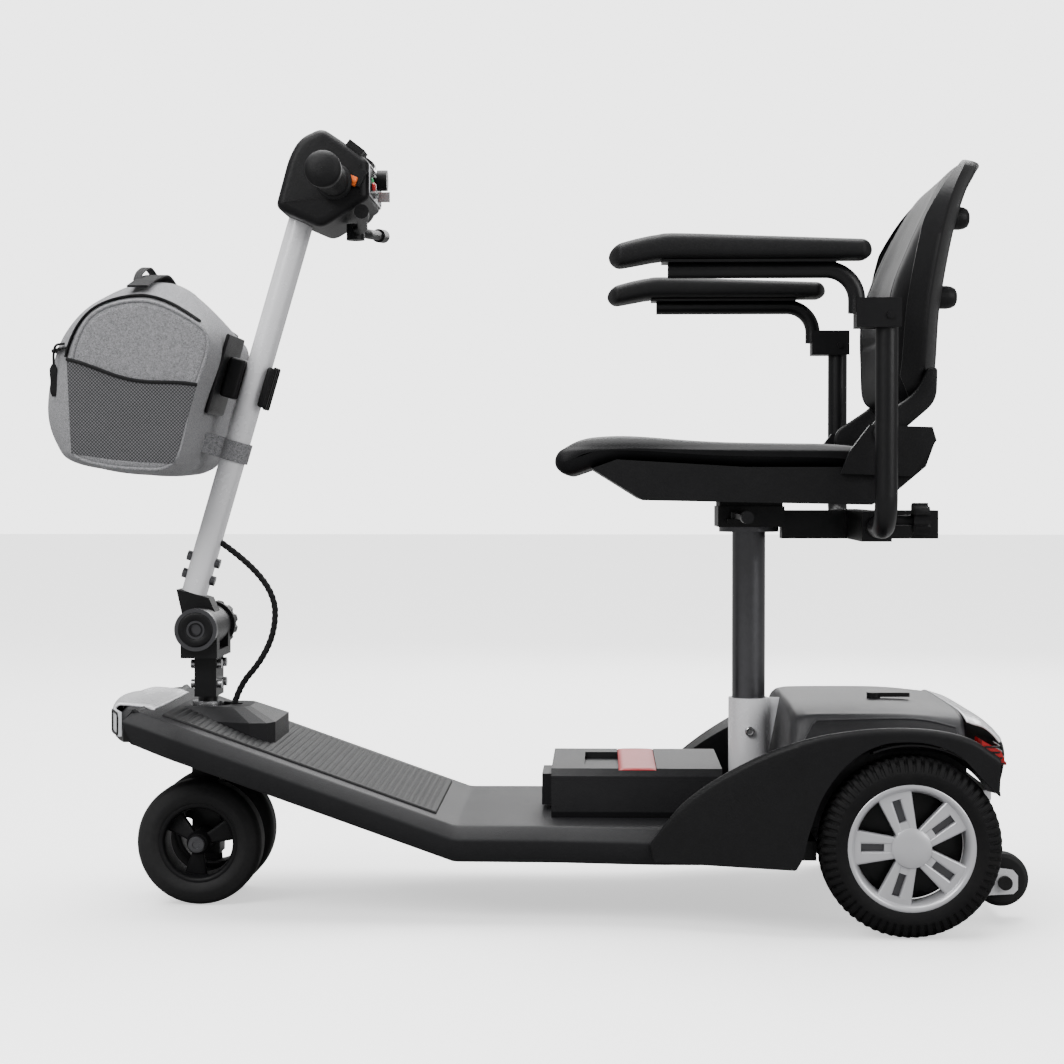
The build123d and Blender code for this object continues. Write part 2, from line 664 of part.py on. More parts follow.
# Tiller head: a shell open to the rider, closed by the console panel.
HEAD_Y = 70.0
WIG_X = -226.0
head_outline = [(-258.5, 926), (-282, 915), (-296.5, 894), (-314.5, 832), (-259.5, 807), (-202.5, 842)]
head_outline = head_outline + [(-202.5, 885), (-206.5, 888), (-236.5, 911)]
head_inside = [(-259, 922), (-280, 912), (-293, 893), (-310.5, 834), (-259.7, 811), (-201, 847)]
head_inside = head_inside + [(-201, 882), (-209, 887), (-238, 909)]
HAND_X = -242.5
HAND_Z = 860.0
BAR_R = 11.0
head = side(head_outline, -HEAD_Y, HEAD_Y) - side(head_inside, -HEAD_Y + WALL, HEAD_Y - WALL)
tube_hole = TILLER * Pos(0, 0, 450) * Cylinder(TUBE_R + 0.05, 120)
bar_hole = rod_y(BAR_R + 0.05, HAND_X, HAND_Z, -90, 90)
mouth = block(-206, -200, -HEAD_Y + WALL, HEAD_Y - WALL, 845.4, 883.2)
wig_pin = rod(4, (WIG_X, 0, 799), (WIG_X, 0, 832))
head = head - tube_hole - bar_hole - mouth + wig_pin
head = max(head.solids(), key=lambda s: s.volume)
save("head_shell", head)

PANEL_X = -202.5
DIAL_Z = 872.0
DIAL_R = 12.5
KEY_Z = 854.0
HORN_Y = -30.0
HORN_Z = 866.0
panel = block(-205.5, PANEL_X, -HEAD_Y + WALL, HEAD_Y - WALL, 845.4, 883.2)
panel_holes = [
    rod((4 + RUN), (-210, 0, DIAL_Z), (-190, 0, DIAL_Z)),
    rod((4 + RUN), (-210, 0, KEY_Z), (-190, 0, KEY_Z)),
    rod((6 + RUN), (-210, HORN_Y, HORN_Z), (-190, HORN_Y, HORN_Z)),
]
panel = panel - panel_holes
lamp_red = rod(5, (PANEL_X, -46, 858), (PANEL_X + 5, -46, 858))
switch_block = Pos(-217, -HEAD_Y - 4, 867) * Rot(0, 25, 0) * Box(20, 8, 20)
slant = Plane(origin=(-221.5, 0, 899.5), x_dir=(30, 0, -23), z_dir=(23, 0, 30))
row = [slant * Pos(0, y, 4) * Box(22, 16, 7.9) for y in (-56, -36, 36, 56)]
save("console_panel", panel, lamp_red, switch_block, *row)

grip = rod_y(22, HAND_X, HAND_Z, HEAD_Y + 8, 190) - rod_y(BAR_R, HAND_X, HAND_Z, 60, 187)
grip = fillet(grip.edges().filter_by(GeomType.CIRCLE).filter_by(lambda e: e.radius > 20), 5)
handlebar = rod_y(BAR_R, HAND_X, HAND_Z, -187, 187)
save("hand_grips", handlebar, grip, flip(grip))

# Wig-wag throttle lever under the console.
wig_hub = rod(11, (WIG_X, 0, 800), (WIG_X, 0, 819))
wig_arm = pipe([(WIG_X, 0, 811), (WIG_X + 12, 30, 811), (WIG_X + 20, 112, 818)], 6, 12)
wig_tip = rod(8.5, (WIG_X + 18.2, 92, 816.3), (WIG_X + 21, 124, 819))
throttle = wig_hub + wig_arm + flip(wig_arm) + wig_tip + flip(wig_tip)
wig_pin_space = rod(4 + RUN, (WIG_X, 0, 795), (WIG_X, 0, 825))
save("throttle_lever", throttle - wig_pin_space)

save(
    "speed_dial",
    rod(4, (-212, 0, DIAL_Z), (-196, 0, DIAL_Z)) + rod(DIAL_R, (-199.5, 0, DIAL_Z), (-187, 0, DIAL_Z)),
)
save(
    "ignition_key",
    rod(4, (-212, 0, KEY_Z), (-198, 0, KEY_Z)) + block(-199, -184, -1.5, 1.5, KEY_Z - 8, KEY_Z + 4),
)
save("horn_button", rod(6, (-210, HORN_Y, HORN_Z), (PANEL_X + 4, HORN_Y, HORN_Z)))

# ---------------------------------------------------------------- bag on the tiller
BAG_Y = 140.0
BAG_BACK = 40.3


def bag_outline(y, bulge, crown, low):
    """Side outline of the bag at one place across its width."""
    foot = TILLER.from_local_coords(Vector(-BAG_BACK, 0, 150 - low))
    top = TILLER.from_local_coords(Vector(-BAG_BACK, 0, 300))
    points = [
        (foot.X, foot.Z),
        (top.X, top.Z),
        (-452, 735 + crown),
        (-528 - bulge * 0.6, 690 + crown * 0.6),
        (-545 - bulge, 600),
        (-540 - bulge * 0.7, 536 - low),
    ]
    edges = [
        Line(points[0], points[1]),
        Spline(points[1], points[2], points[3], points[4], points[5], tangents=[(0, 1), (0.3, -1)]),
        Line(points[5], points[0]),
    ]
    return Pos(0, y, 0) * (Plane.XZ * make_face(edges))


bag_sections = [
    bag_outline(-BAG_Y, 0, -16, 0),
    bag_outline(-BAG_Y * 0.55, 14, 8, 4),
    bag_outline(0, 22, 20, 6),
    bag_outline(BAG_Y * 0.55, 14, 8, 4),
    bag_outline(BAG_Y, 0, -16, 0),
]
bag_body = loft(bag_sections)
save("bag_body", bag_body)

carrier = TILLER * (Pos(-9, 0, 265) * Box(62, 44, 60) + Pos(-37.5, 0, 265) * Box(5, 110, 100))
carrier = carrier - TILLER * Pos(0, 0, 265) * Cylinder(TUBE_R, 200)
strap = TILLER * (Pos(0, 0, 180) * Cylinder(TUBE_R + 2, 25) + Pos(-28, 0, 180) * Box(24, 25, 25))
strap = strap - TILLER * Pos(0, 0, 180) * Cylinder(TUBE_R, 60)
save("bag_straps", carrier, strap)

# ================================================================ seat
FLANGE_Z = 452.0
seat_post = rod(POST_R, (POST_X, 0, 108), (POST_X, 0, 448)) - rod(17, (POST_X, 0, 100), (POST_X, 0, 440))
seat_post = seat_post + rod(36, (POST_X, 0, 446), (POST_X, 0, FLANGE_Z)) + rod(14, (POST_X, 0, 446), (POST_X, 0, 470))
save("seat_post", seat_post)

ARM_POST_X = 385.0
ARM_Z = 455.0
ARM_Y = 245.0
ARM_TUBE_R = 12.5
swivel_block = block(212, 291, -45, 45, FLANGE_Z + GAP, 477)
centre_tube = block(290, 477.5, -17, 17, 438, 472) - block(296, 480, -14, 14, 441, 469)
cross_tube = block(ARM_POST_X - 17, ARM_POST_X + 17, -165, 165, 438, 472)
arm_bore = rod_y(ARM_TUBE_R + 0.05, ARM_POST_X, ARM_Z, -180, 180)
lever_ear = block(222, 248, -66, -44, 457, 462)
lever_pin = rod(4, (235, -56, 460), (235, -56, 471))
spigot_bore = rod(14 + RUN, (POST_X, 0, 440), (POST_X, 0, 471))
socket = block(366, 405, -14, 14, 441, 469)
swivel = swivel_block + centre_tube + (cross_tube - socket) - arm_bore
swivel = swivel - spigot_bore + lever_ear + lever_pin
save("seat_swivel", swivel)

swivel_hub = rod(9, (235, -56, 462.3), (235, -56, 470)) - rod(4 + RUN, (235, -56, 460), (235, -56, 475))
swivel_arm = block(230, 240, -196, -61, 463, 469) - rod(4 + RUN, (235, -56, 460), (235, -56, 475))
swivel_grip = rod_y(7, 235, 466, -224, -194)
save("swivel_lever", swivel_hub + swivel_arm + swivel_grip)

SEAT_Y = 196.0
PIVOT = Vector(385.5, 0, 560)
pan_outline = [(90, 531), (62, 520.9), (119.5, 485), (375.5, 480), (402.5, 495), (435.5, 523), (446, 552), (436, 552)]
pan_outline = pan_outline + [(424, 526), (404, 522.5), (234.5, 522.5)]
seat_pan = side(pan_outline, -SEAT_Y, SEAT_Y)
pan_pocket = block(126, 372, -SEAT_Y + 4, SEAT_Y - 4, 470, 515)
pan_boss = block(214, 289, -43, 43, 477, 518)
wing = side([(340, 515), (350, 540), (372, 569), (441.5, 567), (446, 552), (420, 512)], 192, 204)
pivot_hole = rod_y(6 + RUN, PIVOT.X, PIVOT.Z, 180, 220)
seat_pan = seat_pan - pan_pocket + pan_boss + (wing - pivot_hole) + flip(wing - pivot_hole)
save("seat_pan", seat_pan)

CUSH_DROP = SEAT_CUSHION_TOP - 552
cushion_outline = [(20, 522), (33.5, 511), (90, 531.4), (234.5, 522.9), (372, 522.9), (372, 546 + CUSH_DROP)]
cushion_outline = cushion_outline + [(333.5, 550 + CUSH_DROP), (201.5, 552 + CUSH_DROP)]
cushion_outline = cushion_outline + [(102.5, 559 + CUSH_DROP), (50, 552 + CUSH_DROP), (22, 535 + CUSH_DROP)]
seat_cushion = side(cushion_outline, -191, 191)
save("seat_cushion", seat_cushion)

# Backrest: moulded shell with hinge arms, and its cushion.
back_rear = [(456.5, 594), (463.5, 635), (466.5, 705), (480.5, 785), (496.5, 841), (520, 882)]
SHELL = 8.0
back_front = [(x - SHELL, z) for x, z in back_rear]
back_slab = side(back_rear + [(514, 888)] + list(reversed(back_front)), -200, 200)
back_shape = [
    (120, 590),
    (176, 598),
    (183, 640),
    (197, 690),
    (200, 760),
    (194, 830),
    (168, 864),
    (110, 881),
    (50, 888),
]
back_shape = back_shape + [(-y, z) for y, z in reversed(back_shape)]
back_slab = back_slab & front_view(back_shape, 300, 600)
arm_outline = [(373, 552), (396, 550), (462, 600), (464, 640), (452, 636), (440, 606), (376, 570)]
back_arm = side(arm_outline, 176, 191.7)
back_pin = rod_y(6, PIVOT.X, PIVOT.Z, 184, 207)
back_cap = rod_y(10, PIVOT.X, PIVOT.Z, 204.3, 208)
knob_high = rod(14, (470, 110, 812), (508, 110, 806)) - block(300, 488, 90, 130, 780, 850)
knob_low = rod(14, (455, 110, 720), (496, 110, 716)) - block(300, 468, 90, 130, 690, 750)
hinge_side = back_arm + back_pin + back_cap
knob_solids = [knob_high, knob_low]
back_shell = back_slab + hinge_side + flip(hinge_side)
for piece in knob_solids:
    back_shell = back_shell + piece + flip(piece)
back_shell = max(back_shell.solids(), key=lambda s: s.volume)
save("back_shell", back_shell)

cushion_front = [(402.5, 602), (400, 650), (402.5, 720), (422.5, 775), (452.5, 826), (493, 878)]
cushion_back = [(x - SHELL - 0.4, z) for x, z in back_rear[1:5]]
back_pad = side(
    [(424, 588), (402.5, 602)] + cushion_front[1:] + [(506, 876)] + list(reversed(cushion_back)) + [(446, 600)],
    -200,
    200,
)
pad_shape = [(110, 592), (170, 600), (180, 645), (194, 692), (196, 760), (188, 820), (158, 857), (96, 873)]
pad_shape = pad_shape + [(-y, z) for y, z in reversed(pad_shape)]
back_pad = back_pad & front_view(pad_shape, 300, 600)
arm_room = side([(360, 540), (400, 540), (470, 600), (470, 645), (440, 645), (430, 610), (360, 580)], 172, 200)
back_pad = back_pad - arm_room - flip(arm_room)
back_pad = max(back_pad.solids(), key=lambda s: s.volume)
save("back_cushion", back_pad)

# Armrests: sliding posts, flip-up arms, pads and clamp knobs.
ARM_PIVOT = Vector(393.9, ARM_Y, 687)
arm_post = pipe([(ARM_POST_X, 62, ARM_Z), (ARM_POST_X, ARM_Y, ARM_Z), (ARM_POST_X, ARM_Y, ARM_PIVOT.Z)], ARM_TUBE_R, 34)
arm_post = arm_post + Pos(ARM_POST_X, ARM_Y, ARM_PIVOT.Z) * Sphere(ARM_TUBE_R)
arm_post = arm_post - rod_y(4 + RUN, ARM_POST_X + 2, ARM_PIVOT.Z, 220, 270)
save("arm_post_right", arm_post)
save("arm_post_left", flip(arm_post))

cheek = block(350, 399, ARM_Y + 13, ARM_Y + 16.5, 674, 706) + block(
    350, 399, ARM_Y - 16.5, ARM_Y - 13, 674, 706
)
cheek_web = block(350, 354, ARM_Y - 16.5, ARM_Y + 16.5, 674, 706)
rest_bar = block(354, ARM_POST_X - ARM_TUBE_R - GAP, ARM_Y - 13, ARM_Y + 13, 674, 682)
arm_bolt = rod_y(4, ARM_POST_X + 2, ARM_PIVOT.Z, ARM_Y - 19, ARM_Y + 19)
PAD_X0 = 80.5
PAD_X1 = PAD_X0 + ARM_PAD_LENGTH
arm_tube = pipe([(PAD_X0 + 65, ARM_Y, 738), (352, ARM_Y, 738), (352, ARM_Y, 690)], 9.5, 34)
arm_plate = block(PAD_X0 + 58, PAD_X1 - 40, ARM_Y - 18, ARM_Y + 18, 745, 748)
arm = cheek + cheek_web + rest_bar + arm_bolt + arm_tube + arm_plate
save("arm_right", arm)
save("arm_left", flip(arm))

pad_outline = [(PAD_X0, 745), (PAD_X0 + 12, 741), (PAD_X0 + 42, 748.05), (PAD_X1, 748.05), (PAD_X1, 769)]
pad_outline = pad_outline + [(PAD_X0 + 60, 777), (PAD_X0 + 20, 773), (PAD_X0 + 4, 762)]
arm_pad = side(pad_outline, ARM_Y - 28, ARM_Y + 28)
arm_pad = arm_pad - block(PAD_X0 + 57.5, PAD_X1, ARM_Y - 18.5, ARM_Y + 18.5, 735, 748.1)
arm_pad = max(arm_pad.solids(), key=lambda s: s.volume)
save("arm_pad_right", arm_pad)
save("arm_pad_left", flip(arm_pad))

knob_y = 150.0
star = rod(20, (427, knob_y, 462), (445, knob_y, 462))
scallops = []
for k in range(5):
    angle = 2 * pi * k / 5
    y = knob_y + 23 * cos(angle)
    z = 462 + 23 * sin(angle)
    scallops.append(rod(8, (425, y, z), (447, y, z)))
stem = rod(6, (ARM_POST_X + 17 + GAP, knob_y, 462), (430, knob_y, 462))
star_knob = star - scallops + stem
save("arm_knob_right", star_knob)
save("arm_knob_left", flip(star_knob))
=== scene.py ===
"""Looks of a compact mobility scooter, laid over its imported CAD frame."""

import math

import bmesh
import bpy
import numpy as np
from bpy.props import FloatProperty, FloatVectorProperty, PointerProperty
from bpy.types import Operator, Panel, PropertyGroup
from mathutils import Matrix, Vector


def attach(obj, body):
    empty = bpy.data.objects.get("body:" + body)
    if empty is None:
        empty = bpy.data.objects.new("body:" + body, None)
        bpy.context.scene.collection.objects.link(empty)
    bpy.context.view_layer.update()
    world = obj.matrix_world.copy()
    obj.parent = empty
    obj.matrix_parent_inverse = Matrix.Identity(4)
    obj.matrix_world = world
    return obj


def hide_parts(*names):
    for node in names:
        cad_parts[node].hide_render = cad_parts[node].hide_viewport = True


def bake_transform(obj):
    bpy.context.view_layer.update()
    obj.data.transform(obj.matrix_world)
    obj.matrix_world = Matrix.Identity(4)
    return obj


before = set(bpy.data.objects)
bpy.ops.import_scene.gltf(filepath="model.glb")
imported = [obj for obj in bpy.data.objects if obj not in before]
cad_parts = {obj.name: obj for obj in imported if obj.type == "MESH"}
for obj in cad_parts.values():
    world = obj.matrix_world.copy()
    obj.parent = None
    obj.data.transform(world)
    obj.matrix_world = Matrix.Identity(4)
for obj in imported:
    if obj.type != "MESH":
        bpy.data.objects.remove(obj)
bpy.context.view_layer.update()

bl_info = {
    "name": "Mobility scooter",
    "version": (1, 0, 0),
    "blender": (4, 5, 0),
    "location": "View3D > Sidebar > Scooter",
    "description": "Wheels, body, tiller, bag, seat and armrests of a compact mobility scooter",
    "category": "Object",
}

MM = 0.001

# Places shared by many pieces, in millimetres.
REAR_AXLE = (415.3, 101.5)
FRONT_AXLE = (-408.0, 75.0)
HINGE_PLACE = (-412.5, 329.0)
DECK_TOP = 113.0
BEND_X = -95.5
SLOPE = math.tan(math.radians(19.5))
NOSE_CENTRE_X = -137.5
TILT = math.radians(16.3)
TUBE_FOOT = np.array([-424.5, 0.0, 371.0])
TUBE_WAY = np.array([math.sin(TILT), 0.0, math.cos(TILT)])
TUBE_FORE = np.array([-math.cos(TILT), 0.0, math.sin(TILT)])

# How far out the heads of the front axle's bolts sit.
FRONT_BOLT_OUT = 79.6

# Camera: place in metres, turns in degrees, lens and sensor in millimetres.
CAMERA_PLACE = (0.0725, -2.6, 0.5)
CAMERA_DOWN = 1.205
CAMERA_ASIDE = 1.848
CAMERA_LENS = 72.37
CAMERA_SENSOR = 36.0

# Soft lights: name, place in metres, side in metres, watts. The daylight is a wide sun.
AREA_LIGHTS = (
    ("key light", (-1.8, -2.4, 2.6), 1.8, 110),
    ("fill light", (2.6, -2.0, 1.6), 1.8, 60),
    ("top light", (0.0, 0.4, 3.2), 2.2, 70),
    ("rim light", (0.6, 3.0, 2.0), 2.0, 60),
)
LIGHTS_AIM = (0.0, 0.0, 0.35)
DAYLIGHT_STRENGTH = 5.0
DAYLIGHT_WIDTH = 60.0
BACKDROP_SEEN = 3.2
BACKDROP_LIGHT = 0.4


def deck_rise(x):
    """Height the sloped front adds at x: the slope times the distance forward of the bend."""
    return SLOPE * np.maximum(0.0, BEND_X - np.asarray(x, float))


# ---------------------------------------------------------------- curves
def dense_curve(points, closed=False, steps=24):
    """Catmull-Rom curve through the points: each span is the usual cubic of its four neighbours."""
    p = np.asarray(points, float)
    n = len(p)
    if closed:
        before, after, end = np.roll(p, 1, 0), np.roll(p, -1, 0), np.roll(p, -2, 0)
        start = p
    else:
        wide = np.vstack([2 * p[0] - p[1], p, 2 * p[-1] - p[-2]])
        before, start, after, end = wide[: n - 1], wide[1:n], wide[2 : n + 1], wide[3 : n + 2]
    t = np.linspace(0, 1, steps, endpoint=False)[None, :, None]
    a, b, c, d = (q[:, None, :] for q in (before, start, after, end))
    curve = 0.5 * (
        2 * b + (c - a) * t + (2 * a - 5 * b + 4 * c - d) * t**2 + (3 * b - a - 3 * c + d) * t**3
    )
    curve = curve.reshape(-1, p.shape[1])
    return curve if closed else np.vstack([curve, p[-1]])


def evenly(points, count, closed=False):
    """Points moved to equal steps of length along their own line."""
    p = np.asarray(points, float)
    if closed:
        p = np.vstack([p, p[0]])
    run = np.concatenate([[0], np.cumsum(np.linalg.norm(np.diff(p, axis=0), axis=1))])
    at = np.linspace(0, run[-1], count + 1)[:-1] if closed else np.linspace(0, run[-1], count)
    return np.stack([np.interp(at, run, p[:, k]) for k in range(p.shape[1])], axis=1)


def smooth_line(points, count, closed=False):
    """Even points on the smooth curve through a few given ones."""
    return evenly(dense_curve(points, closed), count, closed)


def rounded_outline(corners, radius, count):
    """Closed outline with each corner replaced by a curve that starts and ends radius away from it."""
    p = np.asarray(corners, float)
    r = np.broadcast_to(np.asarray(radius, float), (len(p),))[:, None]
    back, on = np.roll(p, 1, 0) - p, np.roll(p, -1, 0) - p
    reach_back = np.minimum(r, 0.48 * np.linalg.norm(back, axis=1, keepdims=True))
    reach_on = np.minimum(r, 0.48 * np.linalg.norm(on, axis=1, keepdims=True))
    enter = p + back / np.linalg.norm(back, axis=1, keepdims=True) * reach_back
    leave = p + on / np.linalg.norm(on, axis=1, keepdims=True) * reach_on
    t = np.linspace(0, 1, 9)[None, :, None]
    bend = (1 - t) ** 2 * enter[:, None] + 2 * t * (1 - t) * p[:, None] + t**2 * leave[:, None]
    return evenly(bend.reshape(-1, p.shape[1]), count, True)


def inset(outline, amount):
    """Closed outline moved inwards along its own normals by amount."""
    way = np.roll(outline, -1, 0) - np.roll(outline, 1, 0)
    way = way / np.maximum(np.linalg.norm(way, axis=1, keepdims=True), 1e-9)
    x, z = outline[:, 0], outline[:, 1]
    area = 0.5 * np.sum(x * np.roll(z, -1) - np.roll(x, -1) * z)
    normal = np.stack([-way[:, 1], way[:, 0]], axis=1) * np.sign(area)
    return outline + normal * amount


# ---------------------------------------------------------------- meshes
def sheet(x, y, z):
    """Grid of points from arrays of rows and columns that are spread over each other."""
    return np.stack(np.broadcast_arrays(x, y, z), axis=2)


def grid_faces(rows, columns, close_rows, close_columns, first=0):
    """Quads between neighbouring points of a grid, wrapped round where it is closed."""
    i = np.arange(rows if close_rows else rows - 1)
    j = np.arange(columns if close_columns else columns - 1)
    a, b = np.meshgrid(i, j, indexing="ij")
    a, b = a.ravel(), b.ravel()
    c, d = (a + 1) % rows, (b + 1) % columns
    quads = np.stack([a * columns + b, c * columns + b, c * columns + d, a * columns + d], axis=1)
    return quads + first


class Shell:
    """Points and faces gathered for one piece, in millimetres."""

    def __init__(self):
        self.points = []
        self.faces = []
        self.count = 0

    def grid(self, p, close_rows=False, close_columns=False, cap=False):
        """Adds a grid of points; cap closes its first and last row with flat faces."""
        rows, columns = p.shape[:2]
        self.faces += grid_faces(rows, columns, close_rows, close_columns, self.count).tolist()
        if cap:
            self.faces.append((self.count + np.arange(columns)).tolist())
            self.faces.append((self.count + (rows - 1) * columns + np.arange(columns)).tolist())
        self.points.append(p.reshape(-1, 3))
        self.count += rows * columns
        return self

    def rod(self, p):
        """Adds a grid that is closed round its columns and has flat ends."""
        return self.grid(p, False, True, cap=True)

    def piece(self, name, body, material, nodes=(), slot=None, open_wall=0.0, smooth=40.0):
        """Makes the object, gives an open surface its wall, and hangs it on its CAD body."""
        name = name.replace(" ", "_")
        mesh = bpy.data.meshes.new(name)
        mesh.from_pydata((np.vstack(self.points) * MM).tolist(), [], self.faces)
        work = bmesh.new()
        work.from_mesh(mesh)
        bmesh.ops.remove_doubles(work, verts=work.verts, dist=0.00001)
        bmesh.ops.recalc_face_normals(work, faces=work.faces)
        work.to_mesh(mesh)
        work.free()
        piece = bpy.data.objects.new(name, mesh)
        bpy.context.scene.collection.objects.link(piece)
        mesh.materials.append(material)
        if open_wall:
            wall = piece.modifiers.new("wall", "SOLIDIFY")
            wall.thickness = open_wall * MM
            wall.offset = -1
        mesh.polygons.foreach_set("use_smooth", np.ones(len(mesh.polygons), bool))
        sharp_by_angle(mesh, smooth)
        if body:
            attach(piece, body)
        if nodes:
            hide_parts(*nodes)
        return piece


def sharp_by_angle(mesh, degrees):
    """Marks edges sharper than the angle so that flat faces and round ones both shade well."""
    mesh.set_sharp_from_angle(angle=math.radians(degrees))


def rounded_slab(outline, y0, y1, radius, rows=7, middle=6):
    """Outline carried along Y, drawn in by a quarter circle at both ends."""
    turn = np.linspace(0, math.pi / 2, rows)
    shrink = radius * (1 - np.sin(turn))
    rise = radius * (1 - np.cos(turn))
    y = np.concatenate(
        [y0 + rise, np.linspace(y0 + radius, y1 - radius, middle)[1:-1], (y1 - rise)[::-1]]
    )
    d = np.concatenate([shrink, np.zeros(middle - 2), shrink[::-1]])
    rings = [inset(outline, k) if k > 1e-6 else outline for k in d]
    flat = np.stack(rings)
    across = np.broadcast_to(y[:, None, None], flat.shape[:2] + (1,))
    return np.concatenate([flat[..., :1], across, flat[..., 1:]], axis=2)


def lathe(profile, centre, count=96, lift=None):
    """Closed section of (radius, y) turned about a line along Y; lift adds to the radius by angle
    and place."""
    profile = np.asarray(profile, float)
    angle = np.linspace(0, 2 * math.pi, count, endpoint=False)[:, None]
    radius = np.broadcast_to(profile[None, :, 0], (count, len(profile)))
    y = np.broadcast_to(profile[None, :, 1], radius.shape)
    if lift is not None:
        radius = radius + lift(angle, y, radius)
    return np.stack([centre[0] + radius * np.cos(angle), y, centre[1] + radius * np.sin(angle)], axis=2)


def carried(path, section, size=None):
    """Section of (side, up) points carried along a path, kept square to it and free of twist."""
    path = np.asarray(path, float)
    way = np.gradient(path, axis=0)
    way = way / np.linalg.norm(way, axis=1, keepdims=True)
    side = np.cross(way[0], [0.0, 0.0, 1.0])
    if np.linalg.norm(side) < 0.1:
        side = np.cross(way[0], [0.0, 1.0, 0.0])
    sides = []
    for step in way:
        side = side - step * np.dot(side, step)
        side = side / np.linalg.norm(side)
        sides.append(side)
    sides = np.array(sides)
    ups = np.cross(sides, way)
    section = np.asarray(section, float)
    section = np.broadcast_to(section, (len(path),) + section.shape[-2:])
    if size is not None:
        section = section * np.asarray(size, float)[:, None, None]
    return path[:, None] + section[..., :1] * sides[:, None] + section[..., 1:] * ups[:, None]


def ring_section(radius, count=20):
    """Circle of points."""
    angle = np.linspace(0, 2 * math.pi, count, endpoint=False)
    return np.stack([radius * np.cos(angle), radius * np.sin(angle)], axis=1)


def along_tube(fore, y, s):
    """Point given by its distance forward of the tiller tube's axis, its y, and how far up the tube
    it is."""
    fore, y, s = np.broadcast_arrays(np.asarray(fore, float), y, s)
    base = TUBE_FOOT + s[..., None] * TUBE_WAY + fore[..., None] * TUBE_FORE
    base = base.copy()
    base[..., 1] = y
    return base


# ---------------------------------------------------------------- finishes
def node_group(name, inputs, outputs):
    """Empty node group with float inputs (name, default) and outputs (name, type)."""
    group = bpy.data.node_groups.new(name, "ShaderNodeTree")
    for label, default in inputs:
        socket = group.interface.new_socket(label, in_out="INPUT", socket_type="NodeSocketFloat")
        socket.default_value = default
    for label, kind in outputs:
        group.interface.new_socket(label, in_out="OUTPUT", socket_type=kind)
    return group, group.nodes.new("NodeGroupInput"), group.nodes.new("NodeGroupOutput")


def add(tree, kind, links=(), **values):
    """Node with some of its values set and some of its inputs linked."""
    node = tree.nodes.new(kind)
    for key, value in values.items():
        if hasattr(node, key):
            setattr(node, key, value)
        else:
            node.inputs[key.replace("_", " ")].default_value = value
    for key, socket in links:
        tree.links.new(socket, node.inputs[key])
    return node


def math_node(tree, operation, a, b=None):
    """Arithmetic on sockets or numbers."""
    node = tree.nodes.new("ShaderNodeMath")
    node.operation = operation
    for k, value in enumerate((a, b)):
        if value is None:
            continue
        if hasattr(value, "links"):
            tree.links.new(value, node.inputs[k])
        else:
            node.inputs[k].default_value = value
    return node.outputs[0]


FLOAT, VECTOR = "NodeSocketFloat", "NodeSocketVector"


def make_grain():
    """Moulded grain: fine pebbles over a softer unevenness, as a bump and as a mask."""
    group, given, out = node_group(
        "Moulded grain", [("Scale", 900), ("Depth", 0.3)], [("Normal", VECTOR), ("Mask", FLOAT)]
    )
    place = add(group, "ShaderNodeTexCoord").outputs["Object"]
    fine = add(group, "ShaderNodeTexVoronoi", [("Vector", place), ("Scale", given.outputs["Scale"])])
    soft = add(group, "ShaderNodeTexNoise", [("Vector", place)], Scale=160.0, Detail=4.0)
    height = math_node(
        group, "ADD", fine.outputs["Distance"], math_node(group, "MULTIPLY", soft.outputs["Fac"], 0.5)
    )
    bump = add(
        group, "ShaderNodeBump", [("Height", height), ("Strength", given.outputs["Depth"])],
        Distance=0.0004
    )
    group.links.new(bump.outputs["Normal"], out.inputs["Normal"])
    group.links.new(fine.outputs["Distance"], out.inputs["Mask"])
    return group


def make_wear():
    """Handling and dust: broad clouds broken up by a finer noise, from 0 to 1."""
    group, given, out = node_group(
        "Handling and dust", [("Scale", 9), ("Amount", 0.5)], [("Mask", FLOAT)]
    )
    place = add(group, "ShaderNodeTexCoord").outputs["Object"]
    broad = add(
        group, "ShaderNodeTexNoise", [("Vector", place), ("Scale", given.outputs["Scale"])], Detail=6.0,
        Roughness=0.65
    )
    fine = add(group, "ShaderNodeTexNoise", [("Vector", place)], Scale=120.0, Detail=3.0)
    both = math_node(
        group, "MULTIPLY", broad.outputs["Fac"], math_node(group, "ADD", fine.outputs["Fac"], 0.5)
    )
    reach = add(group, "ShaderNodeMapRange", [("Value", both)])
    reach.inputs["From Min"].default_value = 0.3
    reach.inputs["From Max"].default_value = 0.75
    mask = math_node(group, "MULTIPLY", reach.outputs["Result"], given.outputs["Amount"])
    group.links.new(mask, out.inputs["Mask"])
    return group


